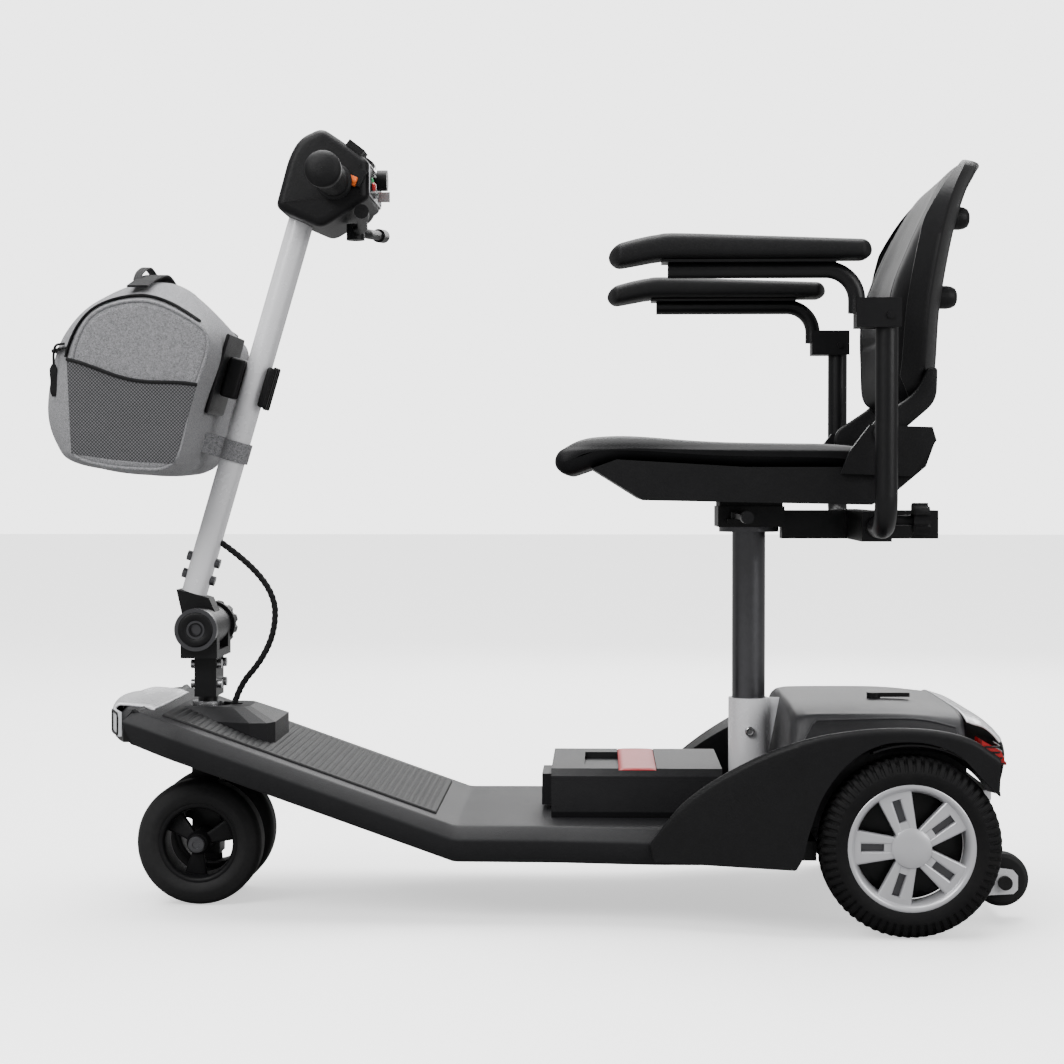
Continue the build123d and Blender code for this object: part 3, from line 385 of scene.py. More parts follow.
def make_weave():
    """Cloth: two crossed sets of threads and a melange of light and dark fibres."""
    group, given, out = node_group(
        "Melange weave", [("Threads", 900), ("Depth", 0.5)], [("Normal", VECTOR), ("Fibres", FLOAT)]
    )
    place = add(group, "ShaderNodeTexCoord").outputs["Object"]
    split = add(group, "ShaderNodeSeparateXYZ", [("Vector", place)])
    slant = math_node(
        group, "ADD", split.outputs["X"], math_node(group, "MULTIPLY", split.outputs["Z"], 0.2)
    )
    waves = []
    for axis in (split.outputs["Y"], math_node(group, "ADD", split.outputs["Z"], slant)):
        turn = math_node(
            group, "MULTIPLY", math_node(group, "MULTIPLY", axis, given.outputs["Threads"]), 6.2832
        )
        waves.append(math_node(group, "SINE", turn))
    height = math_node(group, "MULTIPLY", waves[0], waves[1])
    fleck = add(
        group, "ShaderNodeTexNoise", [("Vector", place)], Scale=1500.0, Detail=2.0, Roughness=0.6
    )
    cloud = add(
        group, "ShaderNodeTexNoise", [("Vector", place)], Scale=420.0, Detail=3.0, Roughness=0.6
    )
    fibres = math_node(
        group, "ADD", math_node(group, "MULTIPLY", fleck.outputs["Fac"], 0.75),
        math_node(group, "MULTIPLY", cloud.outputs["Fac"], 0.25)
    )
    reach = add(group, "ShaderNodeMapRange", [("Value", fibres)])
    reach.inputs["From Min"].default_value = 0.36
    reach.inputs["From Max"].default_value = 0.64
    bump = add(
        group, "ShaderNodeBump", [("Height", height), ("Strength", given.outputs["Depth"])],
        Distance=0.0003
    )
    group.links.new(bump.outputs["Normal"], out.inputs["Normal"])
    group.links.new(reach.outputs["Result"], out.inputs["Fibres"])
    return group


def make_crease():
    """Soft vinyl: broad shallow wrinkles over a leather-like grain."""
    group, given, out = node_group(
        "Vinyl grain", [("Scale", 420), ("Depth", 0.4)], [("Normal", VECTOR), ("Mask", FLOAT)]
    )
    place = add(group, "ShaderNodeTexCoord").outputs["Object"]
    pebble = add(group, "ShaderNodeTexVoronoi", [("Vector", place), ("Scale", given.outputs["Scale"])])
    wrinkle = add(
        group, "ShaderNodeTexNoise", [("Vector", place)], Scale=16.0, Detail=5.0, Distortion=0.6
    )
    tall = math_node(group, "MULTIPLY", wrinkle.outputs["Fac"], 4.0)
    height = math_node(group, "ADD", pebble.outputs["Distance"], tall)
    bump = add(
        group, "ShaderNodeBump", [("Height", height), ("Strength", given.outputs["Depth"])],
        Distance=0.0006
    )
    group.links.new(bump.outputs["Normal"], out.inputs["Normal"])
    group.links.new(wrinkle.outputs["Fac"], out.inputs["Mask"])
    return group


def make_net():
    """Knitted net: two crossed slanting waves whose product leaves small open diamonds."""
    group, given, out = node_group(
        "Knitted net", [("Threads", 260), ("Depth", 0.8)], [("Normal", VECTOR), ("Fibres", FLOAT)]
    )
    place = add(group, "ShaderNodeTexCoord").outputs["Object"]
    split = add(group, "ShaderNodeSeparateXYZ", [("Vector", place)])
    waves = []
    for operation in ("ADD", "SUBTRACT"):
        slant = math_node(group, operation, split.outputs["X"], split.outputs["Z"])
        turn = math_node(
            group, "MULTIPLY", math_node(group, "MULTIPLY", slant, given.outputs["Threads"]), 3.1416
        )
        waves.append(math_node(group, "ABSOLUTE", math_node(group, "SINE", turn)))
    cord = math_node(group, "MINIMUM", waves[0], waves[1])
    reach = add(group, "ShaderNodeMapRange", [("Value", cord)])
    reach.inputs["From Min"].default_value = 0.2
    reach.inputs["From Max"].default_value = 0.42
    bump = add(
        group, "ShaderNodeBump",
        [("Height", reach.outputs["Result"]), ("Strength", given.outputs["Depth"])], Distance=0.0006
    )
    bump.invert = True
    group.links.new(bump.outputs["Normal"], out.inputs["Normal"])
    group.links.new(reach.outputs["Result"], out.inputs["Fibres"])
    return group


GROUPS = {}
FINISHES = {}


def place_group(tree, name, **values):
    """A shared node group placed in one material with its own values."""
    makers = {
        "grain": make_grain, "wear": make_wear, "weave": make_weave, "net": make_net,
        "vinyl": make_crease
    }
    if name not in GROUPS:
        GROUPS[name] = makers[name]()
    node = tree.nodes.new("ShaderNodeGroup")
    node.node_tree = GROUPS[name]
    for key, value in values.items():
        node.inputs[key].default_value = value
    return node


def finish(
    name, colour, rough, worn=None, metal=0.0, coat=0.0, surface="grain", scale=900.0, depth=0.25,
    wear=0.35, sheen=0.0, swing=0.12, shine=0.5
):
    """Material: a base colour that shifts to a worn one, roughness that varies, and a surface bump."""
    if name in FINISHES:
        return FINISHES[name]
    material = bpy.data.materials.new(name)
    material.use_nodes = True
    tree = material.node_tree
    shader = tree.nodes["Principled BSDF"]
    worn = worn or tuple(min(1.0, c * 1.4 + 0.003) for c in colour)
    mask = place_group(tree, "wear", Scale=9.0, Amount=wear).outputs["Mask"]
    mix = tree.nodes.new("ShaderNodeMix")
    mix.data_type = "RGBA"
    mix.inputs[6].default_value = (*colour, 1)
    mix.inputs[7].default_value = (*worn, 1)
    if surface in ("weave", "net"):
        cloth = place_group(tree, surface, Threads=scale, Depth=depth)
        tree.links.new(cloth.outputs["Fibres"], mix.inputs[0])
        normal = cloth.outputs["Normal"]
    else:
        skin = place_group(tree, surface, Scale=scale, Depth=depth)
        tree.links.new(mask, mix.inputs[0])
        normal = skin.outputs["Normal"]
    tree.links.new(mix.outputs[2], shader.inputs["Base Color"])
    roughness = tree.nodes.new("ShaderNodeMapRange")
    roughness.inputs["To Min"].default_value = rough
    roughness.inputs["To Max"].default_value = min(1.0, rough + swing)
    tree.links.new(mask, roughness.inputs["Value"])
    tree.links.new(roughness.outputs["Result"], shader.inputs["Roughness"])
    tree.links.new(normal, shader.inputs["Normal"])
    shader.inputs["Metallic"].default_value = metal
    shader.inputs["Coat Weight"].default_value = coat
    shader.inputs["Coat Roughness"].default_value = 0.12
    shader.inputs["Sheen Weight"].default_value = sheen
    shader.inputs["Specular IOR Level"].default_value = shine
    FINISHES[name] = material
    return material


def lens(name, colour, rough=0.06, weight=0.5):
    """Clear moulded lens: tinted, part see-through, with fine prisms."""
    if name in FINISHES:
        return FINISHES[name]
    material = bpy.data.materials.new(name)
    material.use_nodes = True
    tree = material.node_tree
    shader = tree.nodes["Principled BSDF"]
    shader.inputs["Base Color"].default_value = (*colour, 1)
    shader.inputs["Transmission Weight"].default_value = weight
    shader.inputs["Roughness"].default_value = rough
    shader.inputs["IOR"].default_value = 1.49
    prisms = place_group(tree, "grain", Scale=260.0, Depth=0.35)
    tree.links.new(prisms.outputs["Normal"], shader.inputs["Normal"])
    FINISHES[name] = material
    return material


def charcoal():
    """Deck and battery box: dark moulding with a fine grain."""
    return finish("charcoal moulding", tuple(looks().body), 0.46, scale=1100.0, depth=0.5, shine=0.2)


def black_moulding():
    """Fenders, head and shells."""
    return finish("black moulding", tuple(looks().trim), 0.42, scale=1100.0, depth=0.4, shine=0.18)


def grey_moulding():
    """Cover over the drive."""
    return finish("grey moulding", tuple(looks().cover), 0.42, scale=1100.0, depth=0.4, shine=0.28)


def black_coat():
    """Powder coat on frame, arms and hinge."""
    return finish(
        "black powder coat", (0.004, 0.004, 0.0045), 0.34, scale=1600.0, depth=0.2, coat=0.06,
        shine=0.22
    )


def silver_lacquer():
    """Rear rims."""
    return finish(
        "silver lacquer", tuple(looks().lacquer), 0.3, worn=(0.5, 0.5, 0.52), metal=0.4, coat=0.5,
        scale=2400.0, depth=0.05
    )


def white_lacquer():
    """Tiller tube, nose cap and tail."""
    return finish(
        "pearl lacquer", tuple(looks().pearl), 0.25, worn=(0.7, 0.7, 0.72), metal=0.1, coat=0.6,
        scale=2400.0, depth=0.04
    )


def bright_steel():
    """Plated nuts, bolts and the column nut."""
    return finish(
        "plated steel", (0.55, 0.55, 0.56), 0.24, worn=(0.4, 0.4, 0.41), metal=1.0, scale=2600.0,
        depth=0.08
    )


def dark_steel():
    """Seat post and drive."""
    return finish(
        "dark satin steel", (0.075, 0.075, 0.08), 0.28, metal=0.85, scale=2600.0, depth=0.06, coat=0.2
    )


def tyre_rubber():
    """Rear tyres."""
    return finish(
        "black tyre rubber", (0.004, 0.004, 0.0045), 0.58, worn=(0.014, 0.0135, 0.013), scale=700.0,
        depth=0.3, wear=0.5, shine=0.13
    )


def grey_rubber():
    """Front tyres and the deck mat."""
    return finish(
        "grey-black rubber", (0.014, 0.014, 0.0145), 0.56, worn=(0.028, 0.028, 0.028), scale=800.0,
        depth=0.3, wear=0.5, shine=0.16
    )


def soft_grip():
    """Grips and arm pads."""
    return finish("soft grip rubber", (0.0045, 0.0045, 0.005), 0.48, scale=1300.0, depth=0.5, shine=0.2)


def black_vinyl():
    """Seat and backrest covers."""
    return finish(
        "black vinyl", tuple(looks().vinyl), 0.5, surface="vinyl", scale=420.0, depth=0.2, shine=0.1
    )


def melange():
    """Bag cloth: dark and light threads."""
    return finish(
        "grey melange cloth", tuple(looks().cloth), 0.9, worn=tuple(looks().cloth_fleck),
        surface="weave", scale=900.0,
        depth=0.6, sheen=0.1, shine=0.15,
    )


def black_webbing():
    """Piping, zips, straps and the harness."""
    return finish(
        "black webbing", (0.004, 0.004, 0.0045), 0.75, worn=(0.012, 0.012, 0.013), surface="weave",
        scale=700.0,
        depth=0.8, sheen=0.05, shine=0.2,
    )


def pocket_mesh():
    """Net of the side pockets."""
    return finish(
        "pocket net", (0.006, 0.006, 0.0065), 0.85, worn=(0.13, 0.13, 0.136), surface="net",
        scale=250.0, depth=0.9,
        sheen=0.05, shine=0.2,
    )


def red_band():
    """Band over the battery."""
    return finish(
        "red moulding", tuple(looks().band), 0.38, worn=(0.32, 0.03, 0.035), scale=1200.0, depth=0.2
    )


def bevel_cad(node, material, width=0.8, angle=35):
    """Finish for a CAD piece that already has its true shape: its edges are eased and it is painted."""
    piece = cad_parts[node]
    piece.data.materials.clear()
    piece.data.materials.append(material)
    ease = piece.modifiers.new("eased edges", "BEVEL")
    ease.width = width * MM
    ease.segments = 2
    ease.limit_method = "ANGLE"
    ease.angle_limit = math.radians(angle)
    ease.use_clamp_overlap = True
    ease.harden_normals = False
    return piece


# ---------------------------------------------------------------- wheels
def tread_blocks(angle, y, radius):
    """Raised blocks on both shoulders and a zigzag of blocks between: products of softened square
    waves."""
    middle = np.abs(np.abs(y) - 217.5)
    shoulder = 1 / (1 + np.exp(-(middle - 13.5) * 1.6))
    crown = 1 - shoulder
    near_tread = np.clip((radius - 84) / 5, 0, 1)
    blocks = 1 / (1 + np.exp(-(np.sin(angle * 64) + 0.25) * 12))
    zigzag = 1 / (1 + np.exp(-np.sin(angle * 64 + np.abs(np.abs(y) - 217.5) * 0.3) * 8))
    depth = sizes().tread_depth / MM
    return near_tread * depth * (shoulder * (blocks - 1) + 0.7 * crown * (zigzag - 1))


def fine_lines(angle, y, radius):
    """Two narrow moulded rings on the flanks, each a small Gaussian dip."""
    ring = np.exp(-((radius - 60) ** 2) / 0.8) + np.exp(-((radius - 66.5) ** 2) / 0.8)
    return -0.5 * ring + 0 * angle


def tyre_profile(rim, radius, inner, outer, shoulder, count):
    """Round-shouldered tyre section, closed, as a smooth curve from one bead to the other."""
    middle = (inner + outer) / 2
    half = (outer - inner) / 2
    knots = [
        (rim, -half + 6),
        (rim + 2.5, -half + 2.5),
        (rim + 0.35 * (radius - rim), -half),
        (radius - shoulder, -half + 1),
        (radius - 0.3 * shoulder, -half + 0.36 * shoulder + 1),
        (radius, -half + shoulder + 2),
        (radius + 0.0, 0),
    ]
    knots = knots + [(r, -y) for r, y in reversed(knots[:-1])]
    line = smooth_line(knots, count)
    line[:, 0] = np.minimum(line[:, 0], radius)
    line[:, 1] = np.clip(line[:, 1], -half, half)
    return line + [0, middle]


def mirror_y(p, sign):
    """Moves a grid to the other side."""
    return p * np.array([1.0, sign, 1.0])


def rear_tyres(sign, name):
    """Rear tyre: round section turned about the axle, its tread lifted into blocks."""
    profile = tyre_profile(68.6, 101.4, 192, 243, 14, 76)
    p = lathe(profile, REAR_AXLE, 640, tread_blocks)
    node = "rear_tyre_" + name
    body = "rear_wheel_" + name
    return Shell().grid(mirror_y(p, sign), True, True).piece(
        node + " tread", body, tyre_rubber(), [node], node, smooth=32
    )


def front_tyres(sign, name):
    """Front tyre: smooth solid section with two fine rings on each flank."""
    profile = tyre_profile(46, 74.9, 22, 74, 13, 60)
    p = lathe(profile, FRONT_AXLE, 160, fine_lines)
    node = "front_tyre_" + name
    return Shell().grid(mirror_y(p, sign), True, True).piece(
        node + " solid", "front_wheel_" + name, grey_rubber(), [node], node, smooth=50
    )


def spoke(centre, turn, inner, outer, half_in, half_out, face_in, face_out, thick, aside_in, aside_out):
    """One spoke: a rounded box section along the radius, wider outwards and leaning aside from the
    radius."""
    count = 56
    angle = np.linspace(0, 2 * math.pi, count, endpoint=False)
    across = np.sign(np.cos(angle)) * np.abs(np.cos(angle)) ** 0.35
    deep = np.sign(np.sin(angle)) * np.abs(np.sin(angle)) ** 0.55
    run = np.linspace(0, 1, 44)[:, None]
    radius = inner + run * (outer - inner)
    half = half_in + (half_out - half_in) * run
    y = face_in + (face_out - face_in) * run + (deep[None] - 1) * thick / 2
    side = half * across[None] + aside_in + (aside_out - aside_in) * run
    around = math.radians(turn)
    x = centre[0] + radius * math.cos(around) - side * math.sin(around)
    z = centre[1] + radius * math.sin(around) + side * math.cos(around)
    return sheet(x, y, z)


def rear_rims(sign, name):
    """Rear rim: turned barrel and lips, five broad slotted spokes, a domed hub cap and an inner
    disc; each slot holds a real plate, and its darker colour is painted shade."""
    barrel = [
        (64, 200), (66, 196.4), (71, 197.2), (68.4, 202), (68.4, 233), (71.5, 237.5), (70.5, 240.6),
        (66.4, 240.4), (63, 236), (61, 228), (60.5, 214)
    ]
    hub = [(8.2, 189.5), (17, 189.5), (19, 196), (19, 236), (17.5, 238.2), (8.2, 238.2)]
    dish = [(60, 204), (61.2, 204), (61.2, 206), (40, 210), (18, 210), (18, 208), (40, 208)]
    dome = [
        (0.3, 236), (21.5, 236), (22.4, 237.5), (21.6, 239.4), (18, 240.9), (10, 242.0), (0.3, 242.3)
    ]
    whole = Shell()
    shaded_plates = Shell()
    for profile, count in ((smooth_line(barrel, 60, True), 160), (hub, 64), (dome, 96)):
        whole.grid(mirror_y(lathe(profile, REAR_AXLE, count), sign), True, True)
    for k in range(5):
        turn = 36 + 72 * k
        for lean in (-1, 1):
            arm = spoke(REAR_AXLE, turn, 17, 65.0, 3.9, 8.1, 237.6, 236.4, 12, lean * 7.9, lean * 12.3)
            whole.rod(mirror_y(arm, sign))
        for low, high, half in ((16, 30, 9.5), (56, 65.5, 16)):
            tie = spoke(REAR_AXLE, turn, low, high, half, half + 3, 237.0, 236.2, 7, 0, 0)
            whole.rod(mirror_y(tie, sign))
        # Each slot plate takes the dark steel finish, darker than the silver rim. Beyond the plate's
        # own grey, that darkness is painted shade for the recessed slots.
        plate = spoke(REAR_AXLE, turn, 18, 62, 6, 8, 230.0, 229.0, 6, 0, 0)
        shaded_plates.rod(mirror_y(plate, sign))
    node = "rear_rim_" + name
    rim = whole.piece(node + " cast", "rear_wheel_" + name, silver_lacquer(), [node], node, smooth=38)
    # Dark steel here is painted shade: the darker colour stands in for the shadow inside the slots.
    shaded_plates.piece(node + " slot plates", "rear_wheel_" + name, dark_steel(), (), node, smooth=38)
    back = Shell().grid(mirror_y(lathe(dish, REAR_AXLE, 96), sign), True, True)
    back.piece(node + " backing", "rear_wheel_" + name, black_coat(), (), node)
    return rim


def front_rims(sign, name):
    """Front rim: black barrel with a stepped lip, three broad blades and a bolted hub."""
    barrel = [
        (40.5, 30), (43, 27), (47.5, 28), (45.8, 33), (45.8, 64), (48, 68.5), (46.5, 70.6),
        (42.6, 69.6), (40.5, 64), (39.8, 48)
    ]
    hub = [(6.2, 22.2), (13, 22.2), (14, 26), (14, 68), (11.5, 71.5), (6.2, 71.5)]
    whole = Shell()
    whole.grid(mirror_y(lathe(smooth_line(barrel, 48, True), FRONT_AXLE, 128), sign), True, True)
    whole.grid(mirror_y(lathe(hub, FRONT_AXLE, 64), sign), True, True)
    for k in range(3):
        arm = spoke(FRONT_AXLE, 22 + 120 * k, 11, 42.5, 6.5, 14.5, 62, 56, 9, 0, 0)
        whole.rod(mirror_y(arm, sign))
    node = "front_rim_" + name
    return whole.piece(
        node + " moulded", "front_wheel_" + name, black_moulding(), [node], node, smooth=38
    )


# ---------------------------------------------------------------- deck and body
def deck_edge(count_side=90, count_nose=60):
    """Plan line of the deck's widest edge: up one side, round the nose arc and back down the other
    side."""
    side_x = [284, 127, 20, BEND_X, -300, -470]
    side_y = [190, 190, 178, 176, 176, 176]
    half = evenly(np.stack([side_x, side_y], 1), count_side)
    reach = 375.0
    sweep = np.linspace(math.asin(168 / reach), 0, count_nose)
    nose = np.stack([NOSE_CENTRE_X - reach * np.cos(sweep), reach * np.sin(sweep)], 1)
    near = np.vstack([half[:-4], nose])
    near = evenly(np.vstack([dense_curve(near[::3]), near[-1:]]), count_side + count_nose)
    return np.vstack([near, (near * [1, -1])[::-1][1:]])


def nose_roll(x, y):
    """Drop of the deck's top where it rolls over at the nose: grows past its start and fades
    towards the sides."""
    middle = np.clip(1.4 - np.abs(y) / 150, 0, 1)
    return 12.0 * middle * np.clip((-432.0 - np.asarray(x, float)) / 52.0, 0, 1.2) ** 1.7


def deck_body():
    """Deck: from a spine along its middle out to the edge, over a rounded rim, down to the crease
    and the foot."""
    edge = deck_edge()
    way = np.gradient(edge, axis=0)
    way = way / np.linalg.norm(way, axis=1, keepdims=True)
    inward = np.stack([-way[:, 1], way[:, 0]], axis=1)
    centre = np.stack([np.clip(edge[:, 0], -330, 400), np.zeros(len(edge))], axis=1)
    inward = inward * np.sign(np.sum(inward * (centre - edge), axis=1, keepdims=True))
    wall = [
        (16, 113), (13.4, 112.6), (11.4, 111.2), (1.6, 99.6), (0.5, 97.8), (0.3, 95.6), (9.0, 73.4),
        (10.4, 71.6), (12.6, 71.0)
    ]
    wall = np.array(wall)
    rim = edge + inward * 16
    spine = np.stack([np.clip(rim[:, 0], -470, 400), np.zeros(len(edge))], axis=1)
    rows = []
    for t in np.linspace(0, 1, 14)[:-1]:
        flat = spine + (rim - spine) * t
        rows.append(
            np.column_stack(
                [flat, DECK_TOP + deck_rise(flat[:, 0]) - nose_roll(flat[:, 0], flat[:, 1])]
            )
        )
    for step, height in wall:
        flat = edge + inward * step
        drop = nose_roll(flat[:, 0], flat[:, 1]) * np.clip((height - 75) / 20, 0, 1)
        rows.append(np.column_stack([flat, height + deck_rise(flat[:, 0]) - drop]))
    p = np.stack(rows)
    return Shell().grid(p).piece(
        "deck moulding", "chassis", charcoal(), ["deck_pan"], "deck_pan", 2.8, 30
    )


FENDER_TOP = [
    (127.5, 97), (145, 121), (166, 146), (197.5, 171), (235, 194), (272, 212), (309, 224),
    (353.5, 231.5),
    (398.5, 234.5), (443, 232), (480, 222.5), (512, 202),
]
FENDER_LOW = [
    (131, 77.5), (200, 77), (288, 76.8), (296, 92), (303, 120), (318, 160), (345.5, 196), (377.5, 215),
    (410, 219.5), (440, 216), (468.5, 203), (493.5, 177), (510.5, 160)
]


def fender(sign, name):
    """Fender and side panel: from its inner foot over the rolled top edge, down the outside and in
    under the lip."""
    count = 150
    top = smooth_line(FENDER_TOP, count)
    low = np.array(FENDER_LOW, float)
    corner = np.vstack([evenly(low[:3], 40), smooth_line(low[2:], 120)[1:]])
    run_top = np.linspace(0, 1, count)
    share = np.interp(run_top, [0, 0.42, 1], [0, 0.30, 1])
    line = np.linspace(0, 1, len(corner))
    base = np.stack([np.interp(share, line, corner[:, k]) for k in range(2)], axis=1)
    flare = np.interp(top[:, 0], [127, 290], [192.5, 242.0])
    flare_low = np.interp(base[:, 0], [127, 290], [192.5, 242.0])
    soft = np.minimum(7.0, (flare - 188) * 0.45)
    rows = []

    def row(x, y, z):
        rows.append(np.column_stack([x, sign * y, z]))

    inner = np.full(count, 187.5)
    dip = np.maximum(0.0, np.minimum(7.0, top[:, 1] - base[:, 1] - 6))
    row(base[:, 0], inner, np.minimum(base[:, 1], top[:, 1] - 3))
    row(top[:, 0], inner, top[:, 1] - dip - 1.0)
    row(top[:, 0], inner + 1.5, top[:, 1] - dip)
    row(top[:, 0], inner + 0.55 * (flare - inner), top[:, 1] - dip * 0.5)
    for turn in np.linspace(0, math.pi / 2, 8):
        row(top[:, 0], flare - soft * (1 - math.sin(turn)), top[:, 1] - soft * (1 - math.cos(turn)))
    for t in np.linspace(0.12, 1, 9):
        z_top = top[:, 1] - soft
        row(
            top[:, 0] + (base[:, 0] - top[:, 0]) * t, flare + (flare_low - flare) * t,
            z_top + (base[:, 1] - z_top) * t
        )
    row(base[:, 0], flare_low - 1.2, base[:, 1] - 0.4)
    row(base[:, 0], flare_low - 5.0, base[:, 1] + 0.6)
    p = np.stack(rows)
    node = "fender_" + name
    return Shell().grid(p).piece(node + " moulding", "chassis", black_moulding(), [node], node, 2.4, 34)


def fender_liners():
    """Liner inside each fender: a thin arc sheet over the rear half of the tyre, clear of its tread."""
    whole = Shell()
    angle = np.linspace(math.radians(32.5), math.radians(112), 60)[:, None]
    for sign in (1, -1):
        section_y = np.array([191.0, 214.0, 238.5, 238.5, 214.0, 191.0])[None]
        section_r = np.array([107.0, 109.5, 113.0, 115.0, 111.5, 109.0])[None]
        x = REAR_AXLE[0] + section_r * np.cos(angle)
        z = REAR_AXLE[1] + section_r * np.sin(angle)
        whole.rod(sheet(x, sign * section_y, z))
    return whole.piece("fender liners", "chassis", black_moulding(), (), "rear_cover", smooth=40)


def rear_cover():
    """Rear cover: rounded sections in the Y-Z plane, with a sloping front wall grown out of its
    foot."""
    stations = np.array(
        [
            (281.5, 121, 121, 121, 121),
            (282, 140, 150, 160, 165),
            (284, 160, 178, 200, 208),
            (287.5, 172, 206, 228, 236),
            (292, 180, 218, 237, 244.5),
            (300, 184, 228, 241.5, 247.8),
            (320, 192, 235, 243.5, 249.4),
            (402, 200, 236, 244, 249.6),
            (440, 200, 234, 242.5, 248.0),
            (484, 196, 225, 238, 243.0),
        ]
    )
    x = np.concatenate([np.linspace(0, 5, 26), np.linspace(5, 9, 40)[1:]])
    line = dense_curve(stations)
    at = np.linspace(0, len(stations) - 1, len(line))
    values = np.stack([np.interp(x, at, line[:, k]) for k in range(5)], axis=1)
    rows = []
    for station, low, shoulder, edge, crown in values:
        corners = np.array(
            [(185.2, 117), (185.2, low), (169, shoulder), (150, edge), (92, crown), (0, crown + 0.4)]
        )
        half = smooth_line(corners[1:], 60)
        half = np.vstack([corners[:1], half])
        half[:, 1] = np.maximum(half[:, 1], 117)
        loop = np.vstack([half, (half * [-1, 1])[::-1][1:]])
        rows.append(np.column_stack([np.full(len(loop), station), loop]))
    p = np.stack(rows)
    return Shell().grid(p).piece(
        "rear cover moulding", "chassis", grey_moulding(), ["rear_cover"], "rear_cover", 2.4, 30
    )


def rounded_path(points, count):
    """Closed line through the given places, evenly spaced."""
    return evenly(np.vstack([points, points[:1]]), count + 1)[:-1]


def cover_trim():
    """Raised border and dark inset on each sloping side of the rear cover: a bead and a thin sheet
    inside it."""
    beads = Shell()
    insets = Shell()
    lower = np.array([(298, 186.2, 205), (402, 186.4, 207), (440, 186.4, 206), (474, 186.0, 202)])
    upper = np.array(
        [(316, 170.5, 235.5), (402, 169.6, 237.5), (440, 169.8, 235.8), (474, 171.0, 228.0)]
    )
    for sign in (1, -1):
        low = smooth_line(lower * [1, sign, 1], 40)
        high = smooth_line(upper * [1, sign, 1], 40)
        path = rounded_path(np.vstack([low, high[::-1]]), 120)
        beads.rod(carried(np.vstack([path, path[:2]]), ring_section(1.5, 8)))
        share = np.linspace(0, 1, 12)[:, None, None]
        bulge = np.sin(np.pi * share) * np.array([0.0, sign * 2.6, 2.2])
        sheet = low[None] + (high - low)[None] * share + bulge
        under = sheet - np.array([0.0, sign * 1.6, 1.6])
        insets.grid(np.concatenate([sheet, under[::-1]], axis=0), False, False)
    insets.piece("rear cover insets", "chassis", charcoal(), (), "rear_cover")
    return beads.piece("rear cover beads", "chassis", grey_moulding(), (), "rear_cover")


def tail_panel():
    """Tail panel: a pearl lip that slopes back from the cover, above a dark face turned down and
    wrapped round."""
    y = 176 * np.sin(np.linspace(-math.pi / 2, math.pi / 2, 61))
    pull = 9 * (np.abs(y) / 176) ** 6
    whole = None
    for name, knots, material, nodes in (
        (
            "tail lip skin", [(485.5, 243.6), (507, 236.2), (521, 226), (531.5, 214.5)],
            white_lacquer(), ["rear_panel"]
        ),
        (
            "tail face skin", [(531.6, 213.8), (535.2, 203), (535.8, 190), (532, 172), (526, 156.5)],
            black_moulding(), ()
        ),
    ):
        outline = smooth_line(knots, 36)
        back = (outline[:, 0] - 485.5) / 50.3
        x = outline[:, None, 0] - pull[None] * back[:, None]
        z = outline[:, None, 1] - (pull * 0.8)[None] * np.clip(1.2 - back, 0, 1)[:, None]
        p = np.stack([x, np.broadcast_to(y, x.shape), z], axis=2)
        piece = Shell().grid(p).piece(name, "chassis", material, nodes, "rear_panel", 2.2, 40)
        whole = whole or piece
    return whole


def nose_skin():
    """Nose cap: a pearl skin from the back edge of the nose, rolled over the front and tucked under
    it."""
    y = np.linspace(-106, 106, 53)
    reach = 378.4
    front = NOSE_CENTRE_X - np.sqrt(reach**2 - y**2)
    side = np.clip((np.abs(y) - 92) / 14, 0, 1) ** 2
    rows = []
    back_x = -452.0
    for t in np.linspace(0, 1, 18):
        x = back_x + (front + 9 - back_x) * t
        crown = 4.6 * np.clip(t * 6, 0.5, 1) * (1 - 0.4 * side)
        rows.append(np.column_stack([x, y, DECK_TOP + deck_rise(x) - nose_roll(x, y) + crown]))
    top = rows[-1][:, 2]
    for turn in np.linspace(0.2, math.pi / 2, 7):
        rows.append(
            np.column_stack([front + 9 - 9 * math.sin(turn), y, top - 10 * (1 - math.cos(turn))])
        )
    for z in (232, 224, 214, 206):
        rows.append(np.column_stack([front + (232 - z) * 0.12, y, np.full(len(y), float(z))]))
    p = np.stack(rows)
    return Shell().grid(p).piece(
        "nose cap skin", "chassis", white_lacquer(), ["nose_cap"], "nose_cap", 2.6, 40
    )


def nose_housing():
    """Dark housing behind the headlamps: a rounded wall that follows the nose arc from lamp to lamp."""
    reach = 374.6
    y = np.linspace(-158, 158, 90)[:, None]
    section_in = np.array([0.0, -0.6, 0.0, 6.0, 14.0, 14.0])[None]
    section_z = np.array([206.0, 216.0, 226.0, 229.0, 228.0, 206.0])[None]
    x = NOSE_CENTRE_X - np.sqrt(reach**2 - y**2) + section_in
    whole = Shell().rod(sheet(x, y, section_z))
    return whole.piece("nose housing", "chassis", black_moulding(), (), "nose_cap", smooth=50)


# ---------------------------------------------------------------- tiller
def tiller_head():
    """Tiller head: its side outline with softened corners, carried across and rounded at both ends."""
    corners = [
        (-258.5, 926), (-285, 914), (-298, 892), (-314.5, 831), (-259.5, 807), (-203, 841.5),
        (-203, 886.5), (-236.5, 911.5)
    ]
    outline = rounded_outline(corners, [9, 12, 14, 10, 9, 5, 5, 6], 150)
    body = rounded_slab(outline, -70, 70, 10, rows=8, middle=16)
    whole = Shell().rod(body)
    return whole.piece(
        "tiller head moulding", "tiller", black_moulding(), ["head_shell"], "head_shell", smooth=28
    )


